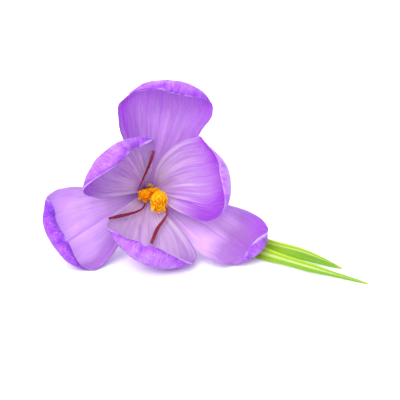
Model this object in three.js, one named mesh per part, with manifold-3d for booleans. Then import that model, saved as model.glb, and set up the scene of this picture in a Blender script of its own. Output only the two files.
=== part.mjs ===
// A crocus picked in full bloom, laid on its side with its face towards the front (-Y) and a little up.
//
// Six broad tepals, in two whorls of three, open out of a slender tube. A frilled style head, three long
// stigma branches and three stamens stand in the throat. Two leaves and the tube come out of the papery
// sheath that held the shoot together, and lie along the surface.
//
// Millimetres, +Z up. Everything is laid out with the middle of the throat straight above the origin, and the
// whole is moved at the end, so that the origin is the middle of the underside of its bounding box.

import * as THREE from 'three';
import { mergeVertices } from 'three/addons/utils/BufferGeometryUtils.js';
import Module from 'manifold-3d';

const manifold = await Module();
manifold.setup();

// ---------------------------------------------------------------------------------------------------
// Driving dimensions: millimetres, and degrees for every angle
// ---------------------------------------------------------------------------------------------------

const THROAT_HEIGHT = 17; // of the throat's centre above the surface
const FACE_TILT = 39; // how far the flower looks up from level
const FACE_SWING = 9; // and how far round to +X from straight ahead

const CLEARANCE = 0.4; // kept round everything that stands in something else
const TEPAL_THICKNESS = 0.7;
const LEAF_THICKNESS = 0.8;

// The claws of the tepals stand in two rings on the rim of the throat.
const INNER_WHORL = { radius: 3.3, claw: 2.9 };
const OUTER_WHORL = { radius: 4.7, claw: 4 };

// azimuth    place round the throat, from the flower's right side, anticlockwise as it faces the viewer
// length     along the midrib, from claw to tip
// halfWidth  at the widest place, which is the share `widest` of the length from the claw
// blunt      how blunt the tip is: 2 is a half ellipse, more is squarer
// opening    angle between midrib and flower axis: at the claw, and at the share `opened` of the length
// curl       how far the tip rolls inwards, from the share `curlFrom` of the length on
// cupping    how far the section turns from midrib to margin: near the claw, at the middle, at the tip
// uneven     how much deeper the margin on the anticlockwise side is cupped than the other, as a share
// lopsided   how much wider the half on the anticlockwise side is than the other, as a share
// sweep      how far the midrib bends sideways; `lean` and `twist` turn the blade about its midrib
const TEPALS = [
  {
    name: 'tepal_outer_top', whorl: OUTER_WHORL, azimuth: 84, length: 57, halfWidth: 21.5,
    widest: 0.68, blunt: 2.4, opening: [28, 61], opened: 0.57, curl: 154, curlFrom: 0.58,
    cupping: [29, 58, 55], uneven: -0.24, lopsided: 0, sweep: 7.4, lean: -3, twist: 20,
  },
  {
    name: 'tepal_outer_left', whorl: OUTER_WHORL, azimuth: 216, length: 57, halfWidth: 19.9,
    widest: 0.7, blunt: 2.4, opening: [32, 80.1], opened: 0.25, curl: 151, curlFrom: 0.63,
    cupping: [34, 48, 58], uneven: -0.14, lopsided: -0.05, sweep: 6.6, lean: 0, twist: -2,
  },
  {
    name: 'tepal_outer_right', whorl: OUTER_WHORL, azimuth: 324, length: 57, halfWidth: 15,
    widest: 0.72, blunt: 2.2, opening: [31, 69.8], opened: 0.25, curl: 152, curlFrom: 0.82,
    cupping: [31, 29, 47], uneven: 0.61, lopsided: -0.03, sweep: -10, lean: 4, twist: -28,
  },
  {
    name: 'tepal_inner_left', whorl: INNER_WHORL, azimuth: 152, length: 49.3, halfWidth: 19.7,
    widest: 0.72, blunt: 2.4, opening: [4, 33.8], opened: 0.33, curl: 131, curlFrom: 0.58,
    cupping: [46, 55, 60], uneven: 0.11, lopsided: 0.14, sweep: 8, lean: -10, twist: -18,
  },
  {
    name: 'tepal_inner_right', whorl: INNER_WHORL, azimuth: 4, length: 49.2, halfWidth: 19.3,
    widest: 0.61, blunt: 1.9, opening: [4, 76.2], opened: 0.59, curl: 133, curlFrom: 0.48,
    cupping: [49, 50, 51], uneven: -0.06, lopsided: -0.03, sweep: 1.5, lean: 12, twist: 5,
  },
  {
    name: 'tepal_inner_lower', whorl: INNER_WHORL, azimuth: 259, length: 53.9, halfWidth: 20.8,
    widest: 0.67, blunt: 2.4, opening: [24, 67.9], opened: 0.31, curl: 142, curlFrom: 0.51,
    cupping: [46, 55, 64], uneven: 0.27, lopsided: 0.1, sweep: 1.8, lean: -11, twist: -7,
  },
];

// Way points along the middle of each blade, from inside the sheath to the tip.
const LEAF_SHAPE = {
  halfWidth: 2.6, baseShare: 0.7, broadFrom: 0.25, taperFrom: 0.66, tipShare: 0.09, channel: 0.25,
};
const LEAVES = [
  {
    name: 'leaf_near', tilt: [75, 45],
    route: [
      [-7.6, 34.1, 3.4], [-3.3, 26.2, 3.4], [8, 10, 3], [25, -10, 2.7], [44, -26.2, 2.4], [64, -40.4, 2],
      [86, -52.2, 0.45],
    ],
  },
  {
    name: 'leaf_far', tilt: [75, 45],
    route: [
      [-5.5, 35.2, 3.4], [-1.2, 27.4, 3.4], [12, 13, 3.3], [30, -5, 3.2], [47.9, -21.1, 3], [62.5, -30, 2.6],
      [77.3, -38.4, 0.45],
    ],
  },
];

// The tube: how far it runs straight back from the throat, then its way points along the surface.
const TUBE = {
  rimRadius: 5.4, neckRadius: 2, funnelShare: 0.4, straight: [0.5, 8, 16],
  route: [[-4.4, 19, 4.1], [-6.7, 25, 3.4], [-10.6, 32.4, 3.4]],
  pit: { radius: 2.9, footRadius: 2.65, depth: 7 },
};

// The sheath: an oval sleeve that narrows to the cut end of the shoot.
const SHEATH = {
  mouth: [-4.8, 26.5], foot: [-19, 52], mouthHalfWidth: 6.2, mouthHalfHeight: 3.8,
  footHalfWidth: 2.8, footHalfHeight: 2.2, slant: 2, sunk: 0.15,
};

const COLOURS = {
  tepal: 0xb583e6, tube: 0xe6dff0, sheath: 0xd9cba4, leaf: 0x9cc932,
  styleHead: 0xfaa81a, branch: 0x8e1a34, stamen: 0xf2c84b,
};

// ---------------------------------------------------------------------------------------------------
// The flower's own frame: x to its right, y up across its face, z along its axis, out of the throat
// ---------------------------------------------------------------------------------------------------

const rad = THREE.MathUtils.degToRad;
const vec = (x, y, z) => new THREE.Vector3(x, y, z);
const UP = vec(0, 0, 1);

const THROAT = vec(0, 0, THROAT_HEIGHT);
const FACING = vec(0, -1, 0)
  .multiplyScalar(Math.cos(rad(FACE_TILT)))
  .addScaledVector(UP, Math.sin(rad(FACE_TILT)))
  .multiplyScalar(Math.cos(rad(FACE_SWING)))
  .addScaledVector(vec(1, 0, 0), Math.sin(rad(FACE_SWING)));
const RIGHT = vec(1, 0, 0).addScaledVector(FACING, -FACING.x).normalize();
const ACROSS = FACING.clone().cross(RIGHT);

function inFlower(x, y, z) {
  return THROAT.clone().addScaledVector(RIGHT, x).addScaledVector(ACROSS, y).addScaledVector(FACING, z);
}

// The direction at an angle round the flower's axis.
function aroundAxis(degrees) {
  return vec(0, 0, 0)
    .addScaledVector(RIGHT, Math.cos(rad(degrees)))
    .addScaledVector(ACROSS, Math.sin(rad(degrees)));
}

// ---------------------------------------------------------------------------------------------------
// Shared surface tools
// ---------------------------------------------------------------------------------------------------

// An S-shaped step from 0 to 1, flat outside that range.
function ease(x) {
  const t = THREE.MathUtils.clamp(x, 0, 1);
  return t * t * (3 - 2 * t);
}

// Numbers from `from` to `to` in even steps, both ends included.
function spaced(count, from, to) {
  return Array.from({ length: count }, (_, k) => from + ((to - from) * k) / (count - 1));
}

function geometryOf(points, triangles) {
  const geometry = new THREE.BufferGeometry().setFromPoints(points);
  geometry.setIndex(triangles);
  geometry.computeVertexNormals();
  return geometry;
}

// The unit normal of a grid of points at one of them, on the side that its columns x rows turn to.
function gridNormal(grid, i, j) {
  const rows = grid.length - 1;
  const columns = grid[0].length - 1;
  const along = grid[Math.min(i + 1, rows)][j].clone().sub(grid[Math.max(i - 1, 0)][j]);
  const over = grid[i][Math.min(j + 1, columns)].clone().sub(grid[i][Math.max(j - 1, 0)]);
  return over.cross(along).normalize();
}

// Thickens an open grid of points into a closed blade: two faces split alike, and four edge strips.
function bladeGeometry(grid, thickness) {
  const rows = grid.length;
  const columns = grid[0].length;
  const half = thickness / 2;
  const faces = [1, -1].map((side) =>
    grid.map((row, i) => row.map((p, j) => p.clone().addScaledVector(gridNormal(grid, i, j), side * half))),
  );
  const front = (i, j) => i * columns + j;
  const back = (i, j) => rows * columns + front(i, j);
  const triangles = [];
  for (let i = 0; i < rows - 1; i++) {
    for (let j = 0; j < columns - 1; j++) {
      triangles.push(front(i, j), front(i + 1, j + 1), front(i + 1, j));
      triangles.push(front(i, j), front(i, j + 1), front(i + 1, j + 1));
      triangles.push(back(i, j), back(i + 1, j), back(i + 1, j + 1));
      triangles.push(back(i, j), back(i + 1, j + 1), back(i, j + 1));
    }
  }
  const edge = (a, b, c, d) => triangles.push(a, b, c, a, c, d);
  for (let i = 0; i < rows - 1; i++) {
    edge(front(i, 0), front(i + 1, 0), back(i + 1, 0), back(i, 0));
    edge(front(i + 1, columns - 1), front(i, columns - 1), back(i, columns - 1), back(i + 1, columns - 1));
  }
  for (let j = 0; j < columns - 1; j++) {
    edge(front(rows - 1, j), front(rows - 1, j + 1), back(rows - 1, j + 1), back(rows - 1, j));
    edge(front(0, j + 1), front(0, j), back(0, j), back(0, j + 1));
  }
  return geometryOf(faces.flat(2), triangles);
}

// Skins a row of rings, anticlockwise as seen from the last one, and closes both ends with a fan.
function skinGeometry(rings) {
  const sides = rings[0].length;
  const points = rings.flat();
  const triangles = [];
  for (let i = 0; i < rings.length - 1; i++) {
    for (let j = 0; j < sides; j++) {
      const a = i * sides + j;
      const b = i * sides + ((j + 1) % sides);
      triangles.push(a, b, b + sides, a, b + sides, a + sides);
    }
  }
  const last = (rings.length - 1) * sides;
  const middle = (ring) => ring.reduce((sum, p) => sum.add(p), vec(0, 0, 0)).divideScalar(sides);
  const firstMiddle = points.push(middle(rings[0])) - 1;
  const lastMiddle = points.push(middle(rings.at(-1))) - 1;
  for (let j = 0; j < sides; j++) {
    const next = (j + 1) % sides;
    triangles.push(firstMiddle, next, j);
    triangles.push(lastMiddle, last + j, last + next);
  }
  return geometryOf(points, triangles);
}

// A round rod along a smooth curve through the given points; `radiusAt` takes the share of its length.
function rodGeometry(points, radiusAt, steps, sides) {
  const curve = new THREE.CatmullRomCurve3(points);
  const frames = curve.computeFrenetFrames(steps, false);
  const rings = spaced(steps + 1, 0, 1).map((u, k) => {
    const centre = curve.getPointAt(u);
    const radius = radiusAt(u);
    return Array.from({ length: sides }, (_, j) => {
      const turn = (2 * Math.PI * j) / sides;
      return centre
        .clone()
        .addScaledVector(frames.normals[k], radius * Math.cos(turn))
        .addScaledVector(frames.binormals[k], radius * Math.sin(turn));
    });
  });
  return skinGeometry(rings);
}

function toSolid(geometry) {
  const bare = geometry.clone();
  bare.deleteAttribute('normal');
  bare.deleteAttribute('uv');
  const merged = mergeVertices(bare);
  const mesh = new manifold.Mesh({
    numProp: 3,
    vertProperties: Float32Array.from(merged.attributes.position.array),
    triVerts: Uint32Array.from(merged.index.array),
  });
  return new manifold.Manifold(mesh);
}

function toGeometry(solid) {
  const mesh = solid.getMesh();
  const geometry = new THREE.BufferGeometry();
  geometry.setAttribute('position', new THREE.BufferAttribute(mesh.vertProperties, mesh.numProp));
  geometry.setIndex(new THREE.BufferAttribute(mesh.triVerts, 1));
  geometry.computeVertexNormals();
  return geometry;
}

// Everything under the surface, which flattens what presses on it.
const GROUND = toSolid(new THREE.BoxGeometry(400, 400, 40).translate(0, 0, -20));

function pressedFlat(geometry) {
  return toGeometry(toSolid(geometry).subtract(GROUND));
}

// ---------------------------------------------------------------------------------------------------
// Tepals
// ---------------------------------------------------------------------------------------------------

const MIDRIB_STEPS = 400;
const TEPAL_ROWS = 18;
const TEPAL_COLUMNS = 11;
const ROW_CROWDING = 1.35; // more than 1 sets the rows closer towards the tip, where the blade curls
const LAST_ROW = 0.997; // of the length: the very tip is cut to a narrow edge
const CUP_GROWTH = 1.3; // more than 1 cups a section more at its margins than at its midrib
const CLAW_SHARE = 0.3; // of the length, over which the claw's cupping changes to the blade's
const UNEVEN_FROM = 0.4; // of the length, over which the claw's symmetry gives way to the blade's shape

// Walks along the midrib and returns its frames: the place, the sideways direction and the inner normal.
function midrib(tepal) {
  const outward = aroundAxis(tepal.azimuth);
  const sideways = aroundAxis(tepal.azimuth + 90);
  const place = THROAT.clone().addScaledVector(outward, tepal.whorl.radius);
  const [atClaw, atBlade] = tepal.opening;
  const frames = [];
  for (let k = 0; k <= MIDRIB_STEPS; k++) {
    const s = k / MIDRIB_STEPS;
    const rolled = tepal.curl * 2 * ease(0.5 * ((s - tepal.curlFrom) / (1 - tepal.curlFrom)));
    const angle = rad(atClaw + (atBlade - atClaw) * ease(s / tepal.opened) - rolled);
    const ahead = FACING.clone().multiplyScalar(Math.cos(angle)).addScaledVector(outward, Math.sin(angle));
    const inner = FACING.clone().multiplyScalar(Math.sin(angle)).addScaledVector(outward, -Math.cos(angle));
    const swept = rad(tepal.sweep) * s ** 1.5;
    const heading = ahead.clone().multiplyScalar(Math.cos(swept)).addScaledVector(sideways, Math.sin(swept));
    const level = sideways.clone().multiplyScalar(Math.cos(swept)).addScaledVector(ahead, -Math.sin(swept));
    const turned = rad(tepal.lean * ease(s / CLAW_SHARE) + tepal.twist * ease(s));
    frames.push({
      place: place.clone(),
      side: level.clone().multiplyScalar(Math.cos(turned)).addScaledVector(inner, Math.sin(turned)),
      inner: inner.clone().multiplyScalar(Math.cos(turned)).addScaledVector(level, -Math.sin(turned)),
    });
    place.addScaledVector(heading, tepal.length / MIDRIB_STEPS);
  }
  return frames;
}

// Half the width of the unrolled blade at the share u of its length.
function tepalHalfWidth(tepal, u) {
  const grown = tepal.whorl.claw + (tepal.halfWidth - tepal.whorl.claw) * ease(u / tepal.widest);
  const pastWidest = Math.max(u - tepal.widest, 0) / (1 - tepal.widest);
  return grown * Math.sqrt(1 - pastWidest ** tepal.blunt);
}

// How far the section turns from midrib to margin. At the claw it follows the ring it stands in.
function tepalCupping(tepal, u) {
  const stations = [0, CLAW_SHARE, 0.65, 1];
  const ringTurn = THREE.MathUtils.radToDeg(tepal.whorl.claw / tepal.whorl.radius);
  const turns = [ringTurn, ...tepal.cupping];
  let turn = turns[0];
  for (let k = 1; k < stations.length; k++) {
    turn += (turns[k] - turns[k - 1]) * ease((u - stations[k - 1]) / (stations[k] - stations[k - 1]));
  }
  return rad(turn);
}

// The place [sideways, inwards] at the share v of a section, found by walking out from the midrib.
function sectionPlace(halfWidth, turn, v) {
  const steps = 24;
  const reach = Math.abs(v);
  let sideways = 0;
  let inwards = 0;
  for (let k = 0; k < steps; k++) {
    const angle = turn * ((reach * (k + 0.5)) / steps) ** CUP_GROWTH;
    sideways += (Math.cos(angle) * halfWidth * reach) / steps;
    inwards += (Math.sin(angle) * halfWidth * reach) / steps;
  }
  return [Math.sign(v) * sideways, inwards];
}

function tepalSurface(tepal) {
  const frames = midrib(tepal);
  return spaced(TEPAL_ROWS, 0, 1).map((q) => {
    const k = Math.round(MIDRIB_STEPS * LAST_ROW * (1 - (1 - q) ** ROW_CROWDING));
    const u = Math.min(k / MIDRIB_STEPS, LAST_ROW);
    const { place, side, inner } = frames[k];
    return spaced(TEPAL_COLUMNS, -1, 1).map((v) => {
      const [sideways, inwards] = sectionPlace(tepalHalfWidth(tepal, u), tepalCupping(tepal, u), v);
      const wider = 1 + tepal.lopsided * ease(u / UNEVEN_FROM) * Math.sign(v);
      const deeper = 1 + tepal.uneven * ease(u / UNEVEN_FROM) * v;
      return place.clone().addScaledVector(side, sideways * wider).addScaledVector(inner, inwards * deeper);
    });
  });
}

function tepalGeometry(tepal) {
  return pressedFlat(bladeGeometry(tepalSurface(tepal), TEPAL_THICKNESS));
}

// ---------------------------------------------------------------------------------------------------
// Leaves
// ---------------------------------------------------------------------------------------------------

const LEAF_ROWS = 26;
const LEAF_COLUMNS = 5;

// Moves the first of two points straight away from the second.
function drawnBack(first, second, distance) {
  return first.clone().add(first.clone().sub(second).setLength(distance));
}

// A narrow channelled blade along the leaf's route. `extra` enlarges it into the slot that it stands in.
function leafGeometry(leaf, extra = 0) {
  const points = leaf.route.map((p) => vec(...p));
  if (extra > 0) {
    points[0] = drawnBack(points[0], points[1], extra);
  }
  const route = new THREE.CatmullRomCurve3(points, false, 'catmullrom');
  const surface = spaced(LEAF_ROWS, 0, 1).map((u) => {
    const place = route.getPoint(u);
    const ahead = route.getTangent(u);
    const level = UP.clone().cross(ahead).normalize();
    const upright = ahead.clone().cross(level);
    const tilt = rad(THREE.MathUtils.lerp(leaf.tilt[0], leaf.tilt[1], ease(u)));
    const side = level.multiplyScalar(Math.cos(tilt)).addScaledVector(upright, Math.sin(tilt));
    const inner = ahead.clone().cross(side);
    const grown = THREE.MathUtils.lerp(LEAF_SHAPE.baseShare, 1, ease(u / LEAF_SHAPE.broadFrom));
    const taper = ease((u - LEAF_SHAPE.taperFrom) / (1 - LEAF_SHAPE.taperFrom));
    const halfWidth = LEAF_SHAPE.halfWidth * grown * THREE.MathUtils.lerp(1, LEAF_SHAPE.tipShare, taper);
    return spaced(LEAF_COLUMNS, -1, 1).map((v) =>
      place
        .clone()
        .addScaledVector(side, v * (halfWidth + extra))
        .addScaledVector(inner, LEAF_SHAPE.channel * Math.abs(v) * halfWidth),
    );
  });
  return bladeGeometry(surface, LEAF_THICKNESS + 2 * extra);
}

// ---------------------------------------------------------------------------------------------------
// Tube and sheath
// ---------------------------------------------------------------------------------------------------

// The tube as a solid rod. `extra` enlarges it into the hole that it stands in.
function tubeRod(extra = 0) {
  const straight = TUBE.straight.map((distance) => inFlower(0, 0, -distance));
  const route = [...straight, ...TUBE.route.map((p) => vec(...p))];
  if (extra > 0) {
    route[route.length - 1] = drawnBack(route.at(-1), route.at(-2), extra);
  }
  const radiusAt = (u) => {
    const funnel = 1 - ease(u / TUBE.funnelShare);
    return TUBE.neckRadius + (TUBE.rimRadius - TUBE.neckRadius) * funnel ** 1.5 + extra;
  };
  return rodGeometry(route, radiusAt, 22, 16);
}

// The pit in the mouth of the tube, where the style, the branches and the stamens stand.
function tubeGeometry() {
  const { radius, footRadius, depth } = TUBE.pit;
  const radiusAt = (u) => THREE.MathUtils.lerp(radius, footRadius, u);
  const pit = rodGeometry([inFlower(0, 0, 1), inFlower(0, 0, -depth)], radiusAt, 2, 16);
  return toGeometry(toSolid(tubeRod()).subtract(toSolid(pit)));
}

function sheathGeometry() {
  const mouth = vec(...SHEATH.mouth, SHEATH.mouthHalfHeight - SHEATH.sunk);
  const foot = vec(...SHEATH.foot, SHEATH.footHalfHeight - SHEATH.sunk);
  const ahead = foot.clone().sub(mouth).setZ(0).normalize();
  const side = UP.clone().cross(ahead);
  const sides = 20;
  const rings = spaced(8, 0, 1).map((u) => {
    const halfWidth = THREE.MathUtils.lerp(SHEATH.mouthHalfWidth, SHEATH.footHalfWidth, ease(u));
    const halfHeight = THREE.MathUtils.lerp(SHEATH.mouthHalfHeight, SHEATH.footHalfHeight, ease(u));
    const centre = mouth.clone().lerp(foot, u).setZ(halfHeight - SHEATH.sunk);
    return Array.from({ length: sides }, (_, j) => {
      const turn = (2 * Math.PI * j) / sides;
      const slant = SHEATH.slant * (1 - u) * Math.sin(turn);
      return centre
        .clone()
        .addScaledVector(side, halfWidth * Math.cos(turn))
        .addScaledVector(UP, halfHeight * Math.sin(turn))
        .addScaledVector(ahead, slant);
    });
  });
  let solid = toSolid(skinGeometry(rings)).subtract(GROUND).subtract(toSolid(tubeRod(CLEARANCE)));
  for (const leaf of LEAVES) {
    solid = solid.subtract(toSolid(leafGeometry(leaf, CLEARANCE)));
  }
  return toGeometry(solid);
}

// ---------------------------------------------------------------------------------------------------
// Style, stigma branches and stamens
// ---------------------------------------------------------------------------------------------------

// Way points in the flower's frame. The style swells by the share `swell` at its end.
const STYLE = {
  radius: 0.8, swell: 0.4, route: [[0, 0, -6.4], [0, 0, 2], [-0.3, -0.8, 5], [-1.3, -1.9, 9.2]],
};

// Each lobe is a funnel rolled almost closed, on a solid neck from the end of the style.
// mouth is its radius at the rim, roll how far it wraps to each side, seam where it stays open.
const STYLE_LOBES = [
  { towards: [3.1, -9.1, 18.2], mouth: 3.9, roll: 160, seam: 200, waves: 7, frill: 0.7 },
  { towards: [-2.7, -3, 12.2], mouth: 1.8, roll: 130, seam: 330, waves: 5, frill: 0.3 },
  { towards: [-2.3, -5.4, 11.6], mouth: 1.8, roll: 130, seam: 30, waves: 5, frill: 0.35 },
];
const LOBE_NECK = 0.35; // the neck's share of a lobe's length
const LOBE_THICKNESS = 0.7;
const LOBE_FLARE = 1.7; // more than 1 opens a lobe more towards its rim

const BRANCHES = [
  {
    name: 'stigma_branch_upper',
    route: [
      [-1.1, -1.3, -5], [-1.3, -1.6, 1], [-3.4, -4.6, 7.6], [-4.7, -4.6, 10.2], [-5, -2, 10.7],
      [-3.6, 1.7, 10.8], [-2.6, 4, 13.8], [-1.6, 6.1, 19.1], [-1.2, 7.6, 22.8], [-0.7, 9.5, 25.3],
    ],
  },
  {
    name: 'stigma_branch_left',
    route: [
      [0, -1.8, -5], [-0.2, -2, 1], [-1.5, -5.8, 7.1], [-2.6, -9.2, 10.2], [-4.1, -13.2, 13.3],
      [-7, -13.9, 15.2], [-13.6, -16.8, 21.5], [-17.7, -19.1, 25.8],
    ],
  },
  {
    name: 'stigma_branch_lower',
    route: [
      [1.8, 0.7, -5], [1.9, 0.6, 2], [2.1, 0.3, 6.5], [2.8, -2.8, 10.8], [4.8, -8.2, 13.7],
      [6.4, -12.1, 14.2], [4.9, -15.5, 13.8], [2.4, -19.3, 14.5], [-0.2, -25.9, 16.8],
    ],
  },
];

// Radii of a branch at its foot and at its broadest, and the shares of its length where it widens and closes.
const BRANCH_SHAPE = {
  foot: 0.4, broadest: 0.8, tip: 0.3, widensFrom: 0.35, widensOver: 0.5, closesFrom: 0.86,
};

const STAMEN = {
  azimuths: [82, 185, 322], spacing: 1.85, flare: 0.5, filament: 0.45, anther: 0.75, from: -6, to: 4.5,
  swellsFrom: 0.5, roundsFrom: 0.9,
};

function styleLobe(lobe) {
  const start = inFlower(...STYLE.route.at(-1));
  const end = inFlower(...lobe.towards);
  const ahead = end.clone().sub(start).normalize();
  const side = ahead.clone().cross(UP).normalize();
  const upright = side.clone().cross(ahead);
  const radiusAt = (u) => THREE.MathUtils.lerp(STYLE.radius, lobe.mouth, u ** LOBE_FLARE);
  const surface = spaced(5, LOBE_NECK * 0.8, 1).map((u) => {
    const centre = start.clone().lerp(end, u);
    return spaced(lobe.waves * 4 + 1, -1, 1).map((v) => {
      const turn = rad(lobe.seam + 180 + lobe.roll * v);
      const reach = radiusAt(u) + lobe.frill * u ** 3 * Math.sin(Math.PI * lobe.waves * v);
      return centre
        .clone()
        .addScaledVector(side, reach * Math.cos(turn))
        .addScaledVector(upright, reach * Math.sin(turn));
    });
  });
  const neckEnd = start.clone().lerp(end, LOBE_NECK);
  const neckRadiusAt = (u) => radiusAt(u * LOBE_NECK) + LOBE_THICKNESS / 4;
  const neck = rodGeometry([start, neckEnd], neckRadiusAt, 3, 8);
  return toSolid(bladeGeometry(surface, LOBE_THICKNESS)).add(toSolid(neck));
}

function styleHeadGeometry() {
  const route = STYLE.route.map((p) => inFlower(...p));
  let solid = toSolid(rodGeometry(route, (u) => STYLE.radius * (1 + STYLE.swell * u ** 4), 8, 8));
  for (const lobe of STYLE_LOBES) {
    solid = solid.add(styleLobe(lobe));
  }
  return toGeometry(solid);
}

// A branch is thin at its foot, widens to a narrow trumpet near its end, and closes to a blunt point.
function branchGeometry(branch) {
  const route = branch.route.map((p) => inFlower(...p));
  const { foot, broadest, tip, widensFrom, widensOver, closesFrom } = BRANCH_SHAPE;
  const radiusAt = (u) => {
    const widened = (broadest - foot) * ease((u - widensFrom) / widensOver);
    const closed = (broadest - tip) * ease((u - closesFrom) / (1 - closesFrom));
    return foot + widened - closed;
  };
  return rodGeometry(route, radiusAt, 22, 6);
}

// A stamen is a thread below and a thicker anther above.
function stamenGeometry(azimuth) {
  const outward = aroundAxis(azimuth);
  const at = (radius, height) => inFlower(0, 0, height).addScaledVector(outward, radius);
  const { spacing, flare, filament, anther, from, to, swellsFrom, roundsFrom } = STAMEN;
  const route = [at(spacing, from), at(spacing, 0), at(spacing + flare, to)];
  const radiusAt = (u) => {
    const swell = (anther - filament) * ease((u - swellsFrom) / 0.1);
    const rounded = 1 - 0.7 * ease((u - roundsFrom) / (1 - roundsFrom));
    return (filament + swell) * rounded;
  };
  return rodGeometry(route, radiusAt, 14, 7);
}

// ---------------------------------------------------------------------------------------------------
// Assembly
// ---------------------------------------------------------------------------------------------------

const crocus = new THREE.Group();

function addPiece(name, geometry, color, roughness) {
  const material = new THREE.MeshStandardMaterial({ color, roughness, metalness: 0 });
  const mesh = new THREE.Mesh(geometry, material);
  mesh.name = name;
  crocus.add(mesh);
}

for (const tepal of TEPALS) {
  addPiece(tepal.name, tepalGeometry(tepal), COLOURS.tepal, 0.55);
}
for (const leaf of LEAVES) {
  addPiece(leaf.name, pressedFlat(leafGeometry(leaf)), COLOURS.leaf, 0.45);
}
addPiece('perianth_tube', tubeGeometry(), COLOURS.tube, 0.5);
addPiece('sheath', sheathGeometry(), COLOURS.sheath, 0.8);
addPiece('style_head', styleHeadGeometry(), COLOURS.styleHead, 0.6);
for (const branch of BRANCHES) {
  addPiece(branch.name, branchGeometry(branch), COLOURS.branch, 0.6);
}
STAMEN.azimuths.forEach((azimuth, k) => {
  addPiece(`stamen_${k + 1}`, stamenGeometry(azimuth), COLOURS.stamen, 0.7);
});

// The origin is the middle of the underside of the bounding box.
const box = new THREE.Box3().setFromObject(crocus);
const centre = box.getCenter(vec(0, 0, 0));
crocus.position.set(-centre.x, -centre.y, -box.min.z);

export default crocus;
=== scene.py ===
# %% [markdown]
# # A crocus in full bloom, laid on its side
#
# This lesson dresses a plain solid model of a picked crocus: six broad violet tepals, a frilled orange style
# head, three crimson stigma branches, three stamens, two leaves, the tube and its papery sheath.
#
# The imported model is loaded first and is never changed. Every piece below is a finer surface of nearly the
# same shape as the solid that it stands for, in the same place, so that the flower keeps its size.

import bpy
import numpy as np
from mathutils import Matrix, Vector


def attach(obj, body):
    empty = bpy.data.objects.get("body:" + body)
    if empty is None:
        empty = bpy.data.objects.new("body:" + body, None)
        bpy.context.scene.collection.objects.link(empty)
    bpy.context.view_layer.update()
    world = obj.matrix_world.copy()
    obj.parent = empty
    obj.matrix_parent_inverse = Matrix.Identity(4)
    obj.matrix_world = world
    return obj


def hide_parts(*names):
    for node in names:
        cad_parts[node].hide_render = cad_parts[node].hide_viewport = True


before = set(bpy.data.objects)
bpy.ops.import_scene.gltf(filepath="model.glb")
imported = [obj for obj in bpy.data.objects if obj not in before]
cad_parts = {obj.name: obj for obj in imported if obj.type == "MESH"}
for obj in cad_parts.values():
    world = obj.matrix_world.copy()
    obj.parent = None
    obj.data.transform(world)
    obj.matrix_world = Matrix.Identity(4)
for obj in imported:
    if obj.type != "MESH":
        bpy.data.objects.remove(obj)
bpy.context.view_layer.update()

# %% [markdown]
# ## The flower's own frame
#
# A flower is easiest to describe round its own axis: x to its right, y up across its face and z out of the
# throat towards whoever it faces. Three unit vectors turn such a place into a place in the scene. All shapes
# are worked out in millimetres and become metres only when they go into a mesh.

# %% Where the flower sits and where it faces
MM = 0.001
THROAT = np.array([-23.46, -0.4, 17.0])  # the middle of the throat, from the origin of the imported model
FACE_TILT, FACE_SWING = np.radians([39, 9])  # how far it faces up from level, and to the right
UP = np.array([0.0, 0.0, 1.0])

FACING = np.array([
    np.sin(FACE_SWING),
    -np.cos(FACE_TILT) * np.cos(FACE_SWING),
    np.sin(FACE_TILT) * np.cos(FACE_SWING),
])
RIGHT = np.array([1.0, 0.0, 0.0]) - FACING * FACING[0]
RIGHT /= np.linalg.norm(RIGHT)
ACROSS = np.cross(FACING, RIGHT)


def in_flower(points):
    """A place in the scene is the throat plus x of RIGHT, y of ACROSS and z of FACING."""
    return THROAT + np.asarray(points, float) @ np.array([RIGHT, ACROSS, FACING])


def over_floor(points):
    """A place in the scene from x and y beside the point under the throat, and the height z over the
    floor."""
    return np.asarray(points, float) + THROAT * (1, 1, 0)


def around_axis(degrees):
    """The unit direction at an angle round the flower's axis, anticlockwise as it faces the viewer."""
    return np.cos(np.radians(degrees)) * RIGHT + np.sin(np.radians(degrees)) * ACROSS


print("the flower faces", FACING.round(3).tolist())

# %% [markdown]
# ## Tools for surfaces
#
# Each surface here is a grid of points: rows run along the piece and columns run across it. The whole grid is
# worked out at once with numpy, and goes into the mesh in one call. No loop runs over the points of a grid,
# so a fine one costs no more lines than a coarse one.


# %% Number tools
FULL_TURN = 2 * np.pi
SINES, FEWEST_TO_SCALE, MOST_TO_SCALE = 7, 0.6, 1.5
TINY = 1e-9


def ease(x):
    """An S-shaped step from 0 to 1, which is 3t^2 - 2t^3 with t held between 0 and 1."""
    t = np.clip(x, 0.0, 1.0)
    return t * t * (3 - 2 * t)


def between(low, high, share):
    """The low value at a share of 0 and the high one at a share of 1."""
    return low + (high - low) * share


def bump_at(x, centre, width):
    """A smooth hill of height 1 at the centre, which is e to the minus square of the distance in widths."""
    return np.exp(-(((x - centre) / width) ** 2))


def wavy(x, y, scale, seed):
    """Soft, even noise from about -1 to 1: a sum of sines in random directions of the (x, y) plane, each with
    its own phase and with 0.6 to 1.5 waves to the scale."""
    random = np.random.default_rng(seed)
    total = np.zeros(np.broadcast(x, y).shape)
    least, most = [0, 0, FEWEST_TO_SCALE], [FULL_TURN, FULL_TURN, MOST_TO_SCALE]
    for turn, phase, pitch in random.uniform(least, most, (SINES, 3)):
        total += np.sin((np.cos(turn) * x + np.sin(turn) * y) * pitch * 2 * np.pi / scale + phase)
    return total / np.sqrt(SINES * 2)


def swell(x, y, wave, seed):
    """The same noise with a height, where a wave is its height and its length."""
    height, length = wave
    return height * wavy(x, y, length, seed)


def turns(count):
    """Angles spaced evenly round a ring."""
    return np.linspace(0, FULL_TURN, count, endpoint=False)


def unit(vectors):
    """Vectors scaled to length 1."""
    return vectors / np.maximum(np.linalg.norm(vectors, axis=-1, keepdims=True), TINY)


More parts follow.
